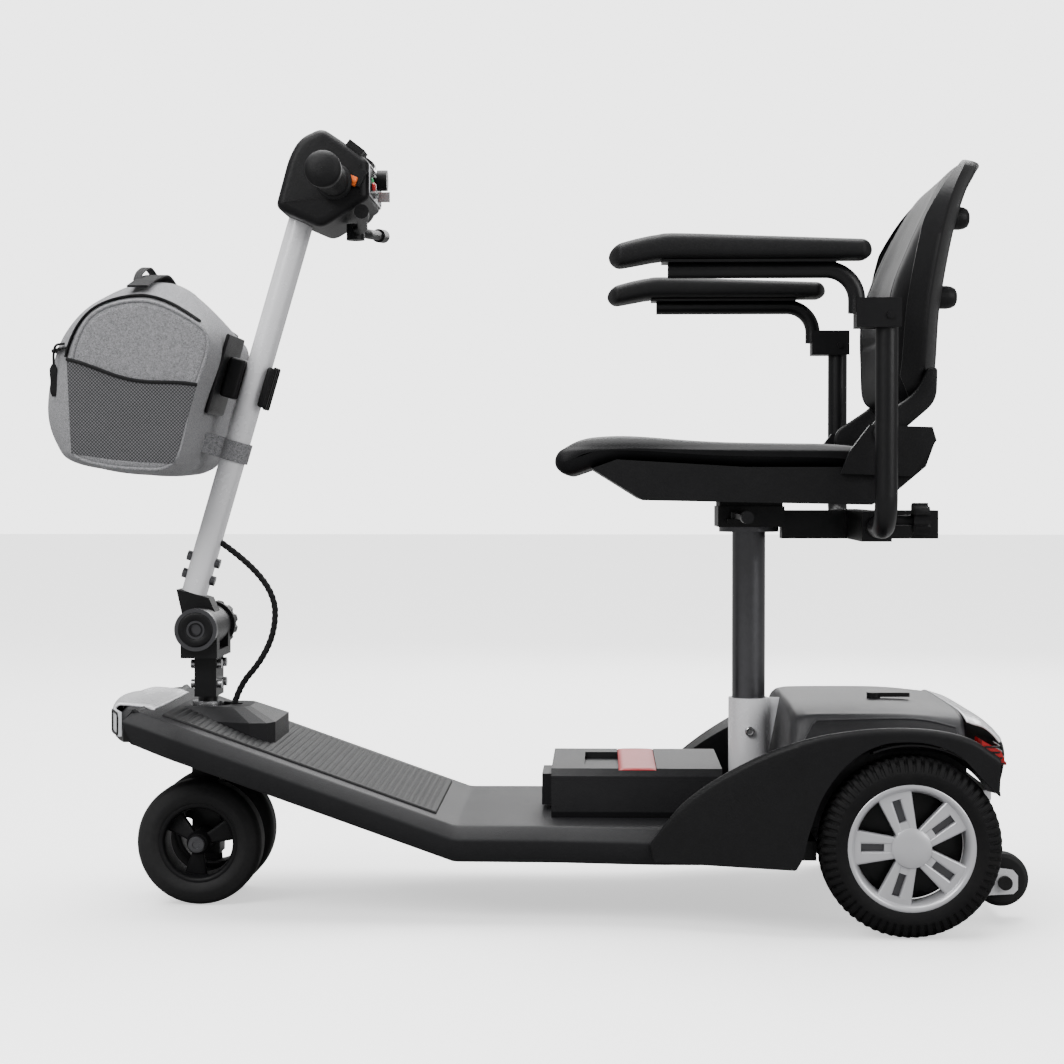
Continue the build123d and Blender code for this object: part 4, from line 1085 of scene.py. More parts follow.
def grips():
    """Hand grips: turned with finger rings, a flange at the inner end and a bulb at the outer end."""
    whole = Shell()
    for sign in (1, -1):
        y = np.linspace(79, 189.5, 180)
        ribs = 0.6 * np.sin((y - 84) * 0.9) * ((y > 90) & (y < 160))
        swell = 3.6 / (1 + np.exp(-(y - 163) * 0.35))
        radius = 17.4 + ribs + swell + 4.2 * np.exp(-(((y - 81.5) / 3.0) ** 4))
        radius = np.minimum(
            radius, 21.6 * np.sqrt(np.clip(1 - (np.maximum(0, y - 178) / 12.0) ** 2.4, 0.0, 1)) + 0.3
        )
        profile = np.vstack(
            [[(11.2, 79.0)], np.column_stack([radius, y]), [(0.4, 189.7)], [(0.4, 186)], [(11.2, 186)]]
        )
        whole.grid(mirror_y(lathe(profile, (-242.5, 860), 72), sign), True, True)
    return whole.piece("soft grips", "tiller", soft_grip(), ["hand_grips"], "hand_grips", smooth=50)


HARNESS_POINTS = [
    (-0.3951, 0.0, 0.4346),
    (-0.3591, 0.0, 0.4098),
    (-0.3255, 0.0, 0.3676),
    (-0.3255, 0.0, 0.3254),
    (-0.3420, 0.0, 0.2880),
    (-0.3720, 0.0, 0.2540),
    (-0.3790, 0.0, 0.2220),
]


def route_line(name, points, count):
    """Points along the smooth NURBS line of a cord's own route, read back from the curve."""
    curve = bpy.data.curves.new(name, "CURVE")
    curve.dimensions = "3D"
    curve.resolution_u = 24
    spline = curve.splines.new("NURBS")
    spline.points.add(len(points) - 1)
    spline.points.foreach_set("co", np.column_stack([points, np.ones(len(points))]).ravel())
    spline.order_u = 3
    spline.use_endpoint_u = True
    holder = bpy.data.objects.new(name, curve)
    mesh = bpy.data.meshes.new_from_object(holder)
    line = np.zeros(len(mesh.vertices) * 3)
    mesh.vertices.foreach_get("co", line)
    bpy.data.objects.remove(holder)
    bpy.data.curves.remove(curve)
    bpy.data.meshes.remove(mesh)
    return evenly(line.reshape(-1, 3), count)


def harness():
    """Harness: a cord wound in spiral wrap, whose radius rises and falls with the turn of the wrap."""
    path = route_line("harness route", HARNESS_POINTS, 260)
    section = ring_section(4.0, 22)
    turn = np.linspace(0, 2 * math.pi, 22, endpoint=False)[None]
    run = np.linspace(0, 1, len(path))[:, None] * 2 * math.pi * 34
    wrap = 1 - 0.12 / (1 + np.exp(-8 * np.sin(run - turn)))
    p = carried(path / MM, section[None] * wrap[..., None])
    cord = Shell().rod(p)
    piece = cord.piece(
        "spiral harness", None, black_webbing(), ["wiring_harness"], "wiring_harness", smooth=60
    )
    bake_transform(piece)
    return piece


# ---------------------------------------------------------------- bag
def bag_section(across):
    """Side outlines of the bag at places across its width: back against the clip plate, bowed
    front, arched top."""
    a = np.abs(across)
    bow = 1 - a**2.6
    rise = 1 - a**2
    foot = along_tube(40.6, 0.0, 152.0 - 4 * bow)
    top = along_tube(40.6, 0.0, 298.0)
    knots = [
        (foot[..., 0], foot[..., 2]),
        (0.5 * foot[..., 0] + 0.5 * top[..., 0], 0.5 * foot[..., 2] + 0.5 * top[..., 2]),
        (np.full_like(a, top[..., 0]), np.full_like(a, top[..., 2])),
        (np.full_like(a, -408.0), 698 + 22 * rise),
        (np.full_like(a, -458.0), 716 + 33 * rise),
        (-512 - 16 * bow, 703 + 26 * rise),
        (-537 - 40 * bow, 662 + 12 * rise),
        (-543 - 50 * bow, 598 + 0 * a),
        (-541 - 42 * bow, 552 - 2 * bow),
        (-530 - 24 * bow, 531 - 3 * bow),
        (-470 + 0 * a, 520 - 6 * bow),
    ]
    x = np.stack([np.broadcast_to(k[0], a.shape) for k in knots], axis=1)
    z = np.stack([np.broadcast_to(k[1], a.shape) for k in knots], axis=1)
    return np.stack([x, z], axis=2)


def bag_shell(places, count=200, shrink=None):
    """Rings of the bag's surface at given places across (from -1 to 1), optionally drawn in."""
    rings = []
    for k, outline in enumerate(bag_section(np.asarray(places, float))):
        ring = smooth_line(outline, count, True)
        if shrink is not None and abs(shrink[k]) > 1e-6:
            ring = inset(ring, shrink[k])
        rings.append(np.column_stack([ring[:, 0], np.full(count, 139.2 * places[k]), ring[:, 1]]))
    return np.stack(rings)


def bag_cloth():
    """Bag body: rings across its width, drawn in with a quarter circle at the ends, with soft sags
    between seams."""
    turn = np.linspace(0, math.pi / 2, 7)
    ends = 1 - 0.062 * (1 - np.cos(turn))
    corner = 9 * (1 - np.sin(turn))
    places = np.concatenate([-ends, np.linspace(-0.93, 0.93, 56)[1:-1], ends[::-1]])
    drawn = np.concatenate([corner, np.zeros(54), corner[::-1]])
    p = bag_shell(places, 220, drawn)
    around = np.linspace(0, 2 * math.pi, 220, endpoint=False)[None]
    across = np.asarray(places)[:, None]
    sag = 1.1 * np.sin(
        around * 3 + across * 2.2
    ) * np.sin(across * 7.5 + 1.3) + 0.7 * np.sin(around * 7 - across * 5)
    middle = p.mean(axis=1, keepdims=True)
    out = p - middle
    out = out / np.maximum(np.linalg.norm(out, axis=2, keepdims=True), 1e-6)
    fade = (1 - np.abs(across) ** 4) * (p[..., 0] < -425)
    p = p + out * (sag * fade)[..., None] * [1, 0, 1]
    bag = Shell().rod(p).piece(
        "tiller bag cloth", "tiller", melange(), ["bag_body"], "bag_body", smooth=60
    )
    return bag


def bag_piping():
    """Piping on both end seams: a thin round carried round the bag's end rings."""
    whole = Shell()
    for place in (-0.985, 0.985):
        ring = bag_shell([place], 200, [1.6])[0]
        whole.rod(carried(np.vstack([ring, ring[:2]]), ring_section(sizes().piping / MM, 10)))
    return whole.piece("bag piping", "tiller", melange(), (), "bag_body", smooth=60)


def bag_zip():
    """Zips: a toothed band beside each end seam, from the front upper corner over the top and down
    to the clip, and one across the front at the lid's edge."""
    whole = Shell()
    tape = np.array(
        [
            (-6.5, -0.7), (6.5, -0.7), (6.5, 0.6), (1.6, 0.7), (1.2, 1.9), (-1.2, 1.9), (-1.6, 0.7),
            (-6.5, 0.6)
        ]
    )
    for place in (-0.915, 0.915):
        ring = bag_shell([place], 400, [-0.9])[0]
        arc = ring[(ring[:, 2] > 650) & (ring[:, 0] < -392)]
        order = np.argsort(np.arctan2(arc[:, 2] - 600, arc[:, 0] + 470))
        arc = evenly(arc[order[::-1]], 300)
        whole.rod(carried(arc, tape))
    front = bag_shell(np.linspace(-0.9, 0.9, 60), 400, [-0.9] * 60)
    near_lid = np.argmin(np.abs(front[:, :, 2] - 662) + 400 * (front[:, :, 0] > -500), axis=1)
    whole.rod(carried(front[np.arange(60), near_lid], tape))
    return whole.piece("bag zips", "tiller", black_webbing(), (), "bag_body", smooth=40)


def bag_handle():
    """Carry handle: flat webbing lying across the crown, sewn down at both ends and lifted a little
    between."""
    line = smooth_line(
        [
            (-468, -118, 734), (-468, -100, 738.5), (-467, -60, 748.5), (-466, 0, 757),
            (-467, 60, 748.5), (-468, 100, 738.5), (-468, 118, 734)
        ],
        120
    )
    flat = np.array([(-12, -1.2), (12, -1.2), (12.6, 0), (12, 1.2), (-12, 1.2), (-12.6, 0)])
    whole = Shell().rod(carried(line, flat))
    loop = smooth_line(
        [(-478, -72, 746), (-479, -50, 757), (-479, -8, 766), (-479, 34, 759), (-478, 58, 750)], 70
    )
    whole.rod(
        carried(loop, np.array([(-4.5, -1.0), (4.5, -1.0), (5, 0), (4.5, 1.0), (-4.5, 1.0), (-5, 0)]))
    )
    return whole.piece("bag handle", "tiller", black_webbing(), (), "bag_body", smooth=50)


def bag_pocket():
    """Mesh pocket on each end: a shallow bulged panel over the lower part, its bound upper edge
    sagging."""
    whole = Shell()
    binding = Shell()
    for sign in (-1, 1):
        u = np.linspace(0, 1, 60)[:, None]
        v = np.linspace(0, 1, 34)[None]
        low_x = -541 + u * 120
        low_z = 539 - u * 12 - 2.5 * np.sin(math.pi * u)
        top_x = -546 + u * 152
        top_z = 648 - u * 30 - 9.0 * np.sin(math.pi * u) ** 2
        x = low_x + (top_x - low_x) * v
        z = low_z + (top_z - low_z) * v
        puff = 3.6 * np.sin(math.pi * u) ** 0.6 * (0.25 + 0.75 * v) * np.sin(
            math.pi * np.clip(v * 0.92, 0, 1) * 0.55
        ) ** 0.7
        wave = 0.8 * np.sin(u * 9) * np.sin(v * 7)
        y = sign * (139.3 + puff + np.maximum(wave, 0) + 0 * x)
        front = sheet(x, y, z)
        back = front.copy()
        back[..., 1] = sign * 138.4
        loop = np.concatenate([front, back[:, ::-1]], axis=1)
        whole.rod(loop)
        binding.rod(carried(front[:, -1], ring_section(2.2, 10)))
    binding.piece("pocket binding", "tiller", black_webbing(), (), "bag_body", smooth=60)
    return whole.piece("mesh pockets", "tiller", pocket_mesh(), (), "bag_body", smooth=50)


# ---------------------------------------------------------------- seat
def seat_cushion():
    """Seat cushion: side outline carried across with rounded ends and dished where one sits."""
    corners = [
        (19, 523), (34, 511.2), (92, 531.6), (234.5, 523.2), (371.5, 523.2), (371.5, 546), (333.5, 550),
        (201.5, 552), (102.5, 559.2), (50, 556), (22, 540)
    ]
    outline = rounded_outline(corners, [9, 9, 26, 30, 5, 10, 30, 40, 40, 18, 12], 190)
    p = rounded_slab(outline, -190.6, 190.6, 17, rows=11, middle=60)
    x, y, z = p[..., 0], p[..., 1], p[..., 2]
    upper = np.clip((z - 541) / 8, 0, 1)
    dish = np.exp(-(((x - 220) / 95) ** 4)) * (
        0.5 + 0.5 * np.cos(np.clip(np.abs(y) / 165, 0, 1) * math.pi)
    )
    thigh = np.exp(-(((np.abs(y) - 92) / 62) ** 2)) * np.exp(-(((x - 90) / 60) ** 2))
    fall = np.clip((np.abs(y) - 120) / 71, 0, 1) ** 2.2
    p[..., 2] = z - upper * (sizes().seat_dish / MM * dish + 5.0 * fall - 1.2 * thigh)
    cushion = Shell().rod(p).piece(
        "seat cushion cover", "seat", black_vinyl(), ["seat_cushion"], "seat_cushion", smooth=60
    )
    return cushion


BACK_LINE = [
    (456.5, 592), (463.0, 635), (466.2, 705), (480.0, 785), (496.2, 836), (514, 868), (522, 879)
]
PAD_LINE = [
    (425, 590), (403.5, 606), (400.5, 650), (402.5, 720), (422.5, 775), (447.0, 824), (470, 862),
    (490, 879)
]


def back_half_width(z, narrow=0.0):
    """Half width of the backrest at each height: narrow at the foot, waisted, widest high up,
    rounded at the top."""
    heights = [588, 600, 640, 690, 760, 815, 845, 866, 880]
    widths = [118, 172, 183, 196, 200, 193, 176, 146, 96]
    knots = smooth_line(np.column_stack([heights, widths]), 120)
    return np.interp(z, knots[:, 0], knots[:, 1]) - narrow


def side_wrap(u):
    """How far the shell wraps forward towards its sides: a power of the distance from its middle."""
    return 21.0 * np.abs(u) ** 2.6


def back_pad():
    """Back cushion: between the shell's curve and a bowed front, its rim rounded by a superellipse,
    with a centre panel."""
    rear = smooth_line([(x - 9.0, z) for x, z in BACK_LINE], 90)
    front = smooth_line(PAD_LINE, 90)
    v = np.linspace(0, 1, 90)[:, None]
    u = np.linspace(-1, 1, 110)[None]
    z_rear = np.interp(v[:, 0], np.linspace(0, 1, 90), rear[:, 1])[:, None]
    x_rear = np.interp(v[:, 0], np.linspace(0, 1, 90), rear[:, 0])[:, None]
    x_front = front[:, 0][:, None]
    z_front = front[:, 1][:, None]
    x_rear = x_rear - side_wrap(u)
    plump = (1 - np.abs(u) ** 7) ** 0.42 * (1 - np.abs(2 * v - 1) ** 14) ** 0.5
    half = back_half_width(z_rear, 4.5)
    groove = np.exp(
        -(((np.abs(u) - 0.66) / 0.014) ** 2)
    ) + np.exp(-(((v - 0.30) / 0.011) ** 2)) * (np.abs(u) < 0.66)
    hollow = np.exp(-((u / 0.55) ** 4)) * np.exp(-(((v - 0.55) / 0.32) ** 4))
    side_bolster = np.exp(-(((np.abs(u) - 0.83) / 0.13) ** 2))
    share = plump * (1 - 0.05 * groove - 0.16 * hollow + 0.03 * side_bolster)
    share = np.clip(share, 0, 1)
    x = x_rear + (x_front - x_rear) * share
    z = z_rear + (z_front - z_rear) * share
    y = u * half
    front_face = sheet(x, y, z)
    back_face = sheet(x_rear, y, z_rear + 0 * u)
    loop = np.concatenate([front_face, back_face[:, ::-1][:, 1:-1]], axis=1)
    pad = Shell().rod(loop).piece(
        "back cushion cover", "backrest", black_vinyl(), ["back_cushion"], "back_cushion", smooth=60
    )
    return pad


def back_shell():
    """Back shell: a curved plate with a turned edge, ribbed on its rear face, with its hinge arms
    and bump stops."""
    rear = smooth_line(BACK_LINE, 90)
    u = np.linspace(-1, 1, 110)[None]
    z = rear[:, 1][:, None]
    half = back_half_width(z, 0.0)
    edge = np.abs(u) ** 10
    roll = 6.5 * edge
    rib = 1.4 * np.exp(-(((np.abs(u) - 0.72) / 0.02) ** 2))
    panel = 1.8 / (1 + np.exp((np.abs(u) - 0.6) * 60)) / (1 + np.exp((np.abs(z - 740) - 88) * 0.5))
    x = rear[:, 0][:, None] - roll + rib - panel - side_wrap(u)
    outer = sheet(x, u * half, z + 0 * u)
    flange = np.interp(z, [592, 625, 800, 850, 879], [6, 26, 24, 12, 4])[..., None]
    steps = np.array([1.0, 0.75, 0.5, 0.25, 0.08])[None, :, None]
    left = outer[:, :1] - flange * steps * [1, 0, 0] + (1 - steps) * [0, -1.5, 0]
    right = outer[:, -1:] - flange * steps[:, ::-1] * [1, 0, 0] + (1 - steps[:, ::-1]) * [0, 1.5, 0]
    outer = np.concatenate([left, outer, right], axis=1)
    inner = outer.copy()
    inner[..., 1] = inner[..., 1] * 0.985
    inner[:, 5:-5, 0] = rear[:, 0][:, None] - 8.0 - 1.0 * edge - side_wrap(u)
    loop = np.concatenate([outer, inner[:, ::-1]], axis=1)
    whole = Shell().rod(loop)
    for sign in (1, -1):
        line = rounded_outline(
            [(373, 552), (390, 546), (448, 596), (449, 634), (438, 634), (426, 606), (376, 572)],
            [9, 9, 14, 4, 4, 18, 9], 90
        )
        arm = rounded_slab(line, 176.4, 191.4, 2.4, rows=4, middle=3)
        whole.rod(mirror_y(arm, sign))
        cap_round = lathe(
            [(0.4, 190), (9.6, 204.4), (9.8, 207), (8, 208), (0.4, 208)], (385.5, 560), 40
        )
        whole.grid(mirror_y(cap_round, sign), True, True)
        for x, z in ((489, 810), (475, 719)):
            dome = np.array([(0.0, 1.0), (6, 0.97), (10, 0.8), (12.4, 0.45), (13.4, 0.0)])
            ang = np.linspace(0, 2 * math.pi, 32, endpoint=False)[None]
            radius, tall = dome[:, 0][:, None] + 0.05, dome[:, 1][:, None] * 12
            knob = sheet(x - 4 + tall, sign * 110 + radius * np.cos(ang), z + radius * np.sin(ang))
            foot = knob[-1:] - [14, 0, 0]
            whole.rod(np.concatenate([knob, foot]))
    return whole.piece(
        "back shell moulding", "backrest", black_moulding(), ["back_shell"], "back_shell", smooth=40
    )


def arm_pads(sign, name):
    """Arm pad: a soft superellipse section carried along the pad, drooping and rounded at its front."""
    run = 0.5 - 0.5 * np.cos(np.linspace(0, math.pi, 130))
    x = 80.7 + 287.6 * run
    knots = [0, 0.03, 0.07, 0.12, 0.18, 0.26, 0.6, 1]
    top_at = dense_curve(
        np.column_stack([knots, [763.0, 765.2, 768.4, 772.0, 775.2, 777, 773.8, 769.6]]), steps=30
    )
    low_at = dense_curve(
        np.column_stack([knots, [739.4, 739.6, 741.2, 743.8, 746.8, 748.2, 748.2, 748.2]]), steps=30
    )
    top = np.interp(run, top_at[:, 0], top_at[:, 1])
    low = np.interp(run, low_at[:, 0], low_at[:, 1])
    front_end = np.sqrt(np.clip(1 - (1 - np.clip(run / 0.05, 0, 1)) ** 2, 0, 1))
    rear_end = np.sqrt(np.clip(1 - (1 - np.clip((1 - run) / 0.045, 0, 1)) ** 2, 0, 1))
    ends = np.maximum(front_end * rear_end, 0.03)
    centre_line = (top + low) / 2
    top = centre_line + (top - centre_line) * ends
    low = centre_line + (low - centre_line) * ends
    half = 27.9 * np.minimum(1, 0.25 + 0.75 * ends) * np.maximum(ends, 0.2)
    angle = np.linspace(0, 2 * math.pi, 48, endpoint=False)[None]
    across = np.sign(np.cos(angle)) * np.abs(np.cos(angle)) ** 0.5
    tall = np.sign(np.sin(angle)) * np.abs(np.sin(angle)) ** 0.62
    y = 245 + half[:, None] * across
    middle = (top + low)[:, None] / 2
    deep = (top - low)[:, None] / 2
    z = middle + deep * tall
    p = sheet(x[:, None], sign * y, z)
    node = "arm_pad_" + name
    pad = Shell().rod(p).piece(node + " foam", "arm_" + name[0], soft_grip(), [node], node, smooth=60)
    return pad


# ---------------------------------------------------------------- smaller pieces
def deck_mat():
    """Ribbed mat: a sheet on the slope whose height repeats as rounded ribs, with a margin."""
    x = np.linspace(-437.0, -118.0, 640)
    y = np.concatenate(
        [[-134.6, -134.2, -133.6], np.linspace(-130.5, 130.5, 61), [133.6, 134.2, 134.6]]
    )
    x, y = x[:, None], y[None]
    phase = (x + 437.0) / 7.0
    rib = np.clip(0.5 + 0.5 * np.cos(phase * 2 * math.pi), 0, 1) ** 0.5
    inside = 1 / (1 + np.exp((np.abs(y) - 129.5) * 3.0)) / (1 + np.exp((np.abs(x + 277.5) - 153) * 1.4))
    edge = np.clip((134.7 - np.abs(y)) / 0.9, 0, 1) * np.clip((159.6 - np.abs(x + 277.5)) / 0.9, 0, 1)
    top = (0.4 + 2.4 * np.sqrt(edge)) - 1.3 * inside * (1 - rib)
    z = DECK_TOP + deck_rise(x) + top
    upper = sheet(x, y, z)
    under = upper.copy()
    under[..., 2] = DECK_TOP + deck_rise(x) + 0.15 + 0 * y
    loop = np.concatenate([upper, under[:, ::-1]], axis=1)
    whole = Shell().rod(loop)
    return whole.piece("ribbed deck mat", "chassis", grey_rubber(), ["deck_mat"], "deck_mat", smooth=60)


def battery_band():
    """Red band over the battery lid: a slightly crowned strap with eased edges."""
    y = np.linspace(-97.8, 97.8, 80)
    section_x = np.array([93.4, 93.4, 94.2, 100, 115.5, 131, 136.8, 137.6, 137.6])
    section_z = np.array([167.1, 169.4, 170.3, 170.9, 171.2, 170.9, 170.3, 169.4, 167.1])
    fall = 2.2 * np.clip((np.abs(y) - 90) / 7.8, 0, 1) ** 2
    p = sheet(section_x[None], y[:, None], section_z[None] - fall[:, None] * (section_z > 168)[None])
    whole = Shell().rod(p)
    return whole.piece(
        "battery band", "battery", red_band(), ["battery_handle"], "battery_handle", smooth=50
    )


def lamp_ribs():
    """Dark ribs of each tail lamp: four thin slanted bars wrapped from the outer face round to the
    back."""
    whole = Shell()
    for sign in (1, -1):
        for k in range(4):
            z = 195.5 + 6.2 * k
            reach = 519.4 - 0.38 * (z - 194)
            line = smooth_line(
                [
                    (495, sign * 236.5, z), (reach - 6, sign * 236.5, z), (reach, sign * 232, z),
                    (reach + 0.3, sign * 214, z), (reach, sign * 194, z)
                ],
                40
            )
            bar = np.array([(-0.7, -0.9), (0.7, -0.9), (0.7, 0.9), (-0.7, 0.9)])
            whole.rod(carried(line, bar))
    return whole.piece("tail lamp ribs", "chassis", black_moulding(), (), "tail_lamps", smooth=30)


def lamp_frames():
    """Dark frame round each headlamp: a bead that follows the lamp's outline on the nose arc."""
    whole = Shell()
    reach = 379.2
    for sign in (1, -1):
        y = np.array([106, 128, 151, 151, 128, 106.0])
        z = np.array([238.5, 238.5, 238.0, 214.0, 213.5, 213.5])
        outline = rounded_outline(np.stack([y, z], 1), 4, 90)
        line = np.column_stack(
            [
                NOSE_CENTRE_X - np.sqrt(reach**2 - outline[:, 0] ** 2), sign * outline[:, 0],
                outline[:, 1]
            ]
        )
        whole.rod(carried(np.vstack([line, line[:2]]), ring_section(1.5, 8)))
    return whole.piece("headlamp frames", "chassis", black_moulding(), (), "headlamps", smooth=50)


def lamp_bowls():
    """Bright reflector ridges behind each headlamp lens: a rippled sheet along the nose arc."""
    whole = Shell()
    for sign in (1, -1):
        y = np.linspace(107, 149, 60)[None]
        z = np.linspace(215, 237, 12)[:, None]
        reach = 376.4 + 0.7 * np.sin(y * 1.2) + 0 * z
        x = NOSE_CENTRE_X - np.sqrt(reach**2 - y**2)
        front = sheet(x, sign * y, z)
        back = front + [0.8, 0, 0]
        whole.rod(np.concatenate([front, back[:, ::-1]], axis=1))
    return whole.piece("headlamp reflectors", "chassis", bright_steel(), (), "headlamps", smooth=50)


def clip_plate():
    """Bag clip: blocks in front of and behind the tube, a plate and three fins, with softened
    corners."""
    whole = Shell()
    for y0, y1, fore, s, radius in (
        (-21.6, 21.6, (-22.5, -13.0), (240, 290), 3.0),
        (-21.6, 21.6, (14.5, 34.6), (240, 290), 4.0),
        (-54.6, 54.6, (35.4, 39.8), (215.5, 314.5), 1.6),
    ):
        corners = [(fore[0], s[0]), (fore[1], s[0]), (fore[1], s[1]), (fore[0], s[1])]
        flat = rounded_outline(corners, min(5.0, (fore[1] - fore[0]) * 0.45), 72)
        slab = rounded_slab(flat, y0, y1, radius, rows=5, middle=4)
        moved = along_tube(slab[..., 0], slab[..., 1], slab[..., 2])
        whole.rod(moved)
    for y in (-14, 0, 14):
        fin = rounded_outline([(-24.0, 238), (-20, 238), (-20, 292), (-24.0, 292)], 1.2, 40)
        slab = rounded_slab(fin, y - 2, y + 2, 0.8, rows=4, middle=3)
        whole.rod(along_tube(slab[..., 0], slab[..., 1], slab[..., 2]))
    return whole.piece("bag clip", "tiller", black_moulding(), ["bag_straps"], "bag_straps", smooth=40)


def bag_strap():
    """Lower strap: flat webbing that leaves the bag's back, wraps the tube and returns."""
    turn = np.linspace(math.radians(40), math.radians(320), 70)
    radius = 17.6
    fore = radius * np.cos(turn)
    y = radius * np.sin(turn)
    fore = np.concatenate([[40.5], fore, [40.5]])
    y = np.concatenate([[13.5], y, [-13.5]])
    line = smooth_line(np.stack([fore, y], 1), 150)
    across = np.array([-12.4, -12.0, 12.0, 12.4, 12.0, -12.0])
    thick = np.array([0, 1.1, 1.1, 0, -1.1, -1.1])
    way = np.gradient(line, axis=0)
    way = way / np.linalg.norm(way, axis=1, keepdims=True)
    normal = np.stack([-way[:, 1], way[:, 0]], axis=1)
    spot = line[:, None] + thick[None, :, None] * normal[:, None]
    p = along_tube(spot[..., 0], spot[..., 1], 180.0 + across[None] + 0 * spot[..., 0])
    whole = Shell().rod(p)
    return whole.piece("bag strap", "tiller", melange(), (), "bag_straps", smooth=50)


def bag_pull():
    """Zip pull at the bag's near upper corner: a cord loop with a moulded tab hanging down the
    front."""
    whole = Shell()
    line = smooth_line([(-556, -108, 668), (-566, -108, 666), (-569, -108, 656), (-569, -108, 640)], 50)
    whole.rod(carried(line, ring_section(1.5, 10)))
    tab = smooth_line([(-569, -108, 644), (-569.5, -108, 630), (-568.5, -108, 606)], 24)
    size = np.interp(np.linspace(0, 1, 24), [0, 0.15, 0.5, 0.85, 1], [0.5, 1.0, 0.8, 1.0, 0.5])
    blade = np.array([(-4.2, -1.3), (4.2, -1.3), (4.8, 0), (4.2, 1.3), (-4.2, 1.3), (-4.8, 0)])
    whole.rod(carried(tab, blade, size))
    return whole.piece("bag zip pull", "tiller", black_webbing(), (), "bag_body", smooth=50)


def panel_trim():
    """Console trim: a rim round the panel and slim dial marks, as beads and short bars on its face."""
    whole = Shell()
    rim = rounded_outline([(-66, 846.5), (66, 846.5), (66, 882), (-66, 882)], 5, 120)
    line = np.column_stack([np.full(len(rim), -202.0), rim])
    whole.rod(carried(np.vstack([line, line[:2]]), ring_section(0.9, 8)))
    for k in range(11):
        turn = math.radians(-125 + 25 * k)
        start = np.array([-202.2, 16.0 * math.sin(turn), 872 + 16.0 * math.cos(turn)])
        end = np.array([-202.2, 19.0 * math.sin(turn), 872 + 19.0 * math.cos(turn)])
        whole.rod(carried(np.linspace(start, end, 4), ring_section(0.45, 6)))
    return whole.piece("console trim", "tiller", silver_lacquer(), (), "console_panel", smooth=40)


def switch_block():
    """Orange rocker block on the near end of the head: a rounded slab with a raised bar."""
    whole = Shell()
    corners = [(-10.5, -5.6), (10.5, -5.6), (10.5, 5.6), (-10.5, 5.6)]
    tilt = math.radians(22)
    for amount, y0, y1, cut in ((1.0, -79.0, -69.5, 1.6), (0.42, -80.6, -78.0, 0.8)):
        flat = rounded_outline(np.array(corners) * [1, amount], 2.4, 60)
        slab = rounded_slab(flat, y0, y1, cut, rows=4, middle=3)
        x = -225.5 + slab[..., 0] * math.cos(tilt) + slab[..., 2] * math.sin(tilt)
        z = 863.5 - slab[..., 0] * math.sin(tilt) + slab[..., 2] * math.cos(tilt)
        whole.rod(np.stack([x, slab[..., 1], z], axis=2))
    return whole.piece("orange rocker", "tiller", orange_moulding(), (), "console_panel", smooth=40)


def small_dome(name, place, radius, tall, material, body, nodes, slot):
    """Button: a low dome turned about the X axis through its place."""
    fall = np.linspace(0, math.pi / 2, 9)
    ring = radius * np.concatenate([[0.02], np.sin(fall[1:]), [1.0]])
    rise = np.concatenate([[1.0], np.cos(fall[1:]), [-0.8]]) * tall
    angle = np.linspace(0, 2 * math.pi, 28, endpoint=False)[None]
    p = sheet(
        place[0] + rise[:, None], place[1] + ring[:, None] * np.cos(angle),
        place[2] + ring[:, None] * np.sin(angle)
    )
    return Shell().rod(p).piece(name, body, material, nodes, slot, smooth=50)


def hinge_rings():
    """Turned ring and socket rim on the hinge pin's near cap."""
    whole = Shell()
    ring = [(11.0, -57.2), (11.0, -58.6), (12.0, -59.4), (18.5, -59.8), (20.5, -59.0), (21.5, -57.2)]
    socket = [(6.4, -57.2), (6.6, -59.0), (8.4, -59.0), (8.8, -57.2)]
    for profile in (ring, socket):
        whole.grid(lathe(profile, HINGE_PLACE, 72), True, True)
    return whole.piece("hinge cap rings", "steering", black_moulding(), (), "hinge_lower", smooth=40)


def bolt_heads(name, places, body, slot, radius=5.0, tall=3.0, axis="y", material=None):
    """Domed socket heads at the given places: a turned dome with a sunk middle."""
    whole = Shell()
    section = np.array(
        [(0.05, 0.35), (0.42, 0.35), (0.46, 0.95), (0.72, 1.0), (0.94, 0.75), (1.0, 0.3), (1.0, -0.35)]
    )
    angle = np.linspace(0, 2 * math.pi, 24, endpoint=False)[None]
    for x, y, z, way in places:
        along = way * section[:, 1][:, None] * tall
        r = radius * section[:, 0][:, None]
        if axis == "y":
            p = sheet(x + r * np.cos(angle), y + along, z + r * np.sin(angle))
        elif axis == "z":
            p = sheet(x + r * np.cos(angle), y + r * np.sin(angle), z + along)
        else:
            p = sheet(x + along, y + r * np.cos(angle), z + r * np.sin(angle))
        whole.rod(p)
    return whole.piece(name, body, material or dark_steel(), (), slot, smooth=35)


# ---------------------------------------------------------------- sizes and looks
class ScooterSizes(PropertyGroup):
    """Sizes that a maker would change."""

    tread_depth: FloatProperty(
        name="Tread depth", description="Depth of the rear tread blocks", default=0.0042, min=0.0,
        max=0.006, unit="LENGTH"
    )
    seat_dish: FloatProperty(
        name="Seat dish", description="How far the middle of the seat sinks", default=0.0055, min=0.0,
        max=0.02, unit="LENGTH"
    )
    piping: FloatProperty(
        name="Piping radius", description="Radius of the piping on seat and bag", default=0.0021,
        min=0.001, max=0.005, unit="LENGTH"
    )
    stage_size: FloatProperty(
        name="Floor size", description="Side of the floor", default=40.0, min=4.0, max=60.0,
        unit="LENGTH"
    )


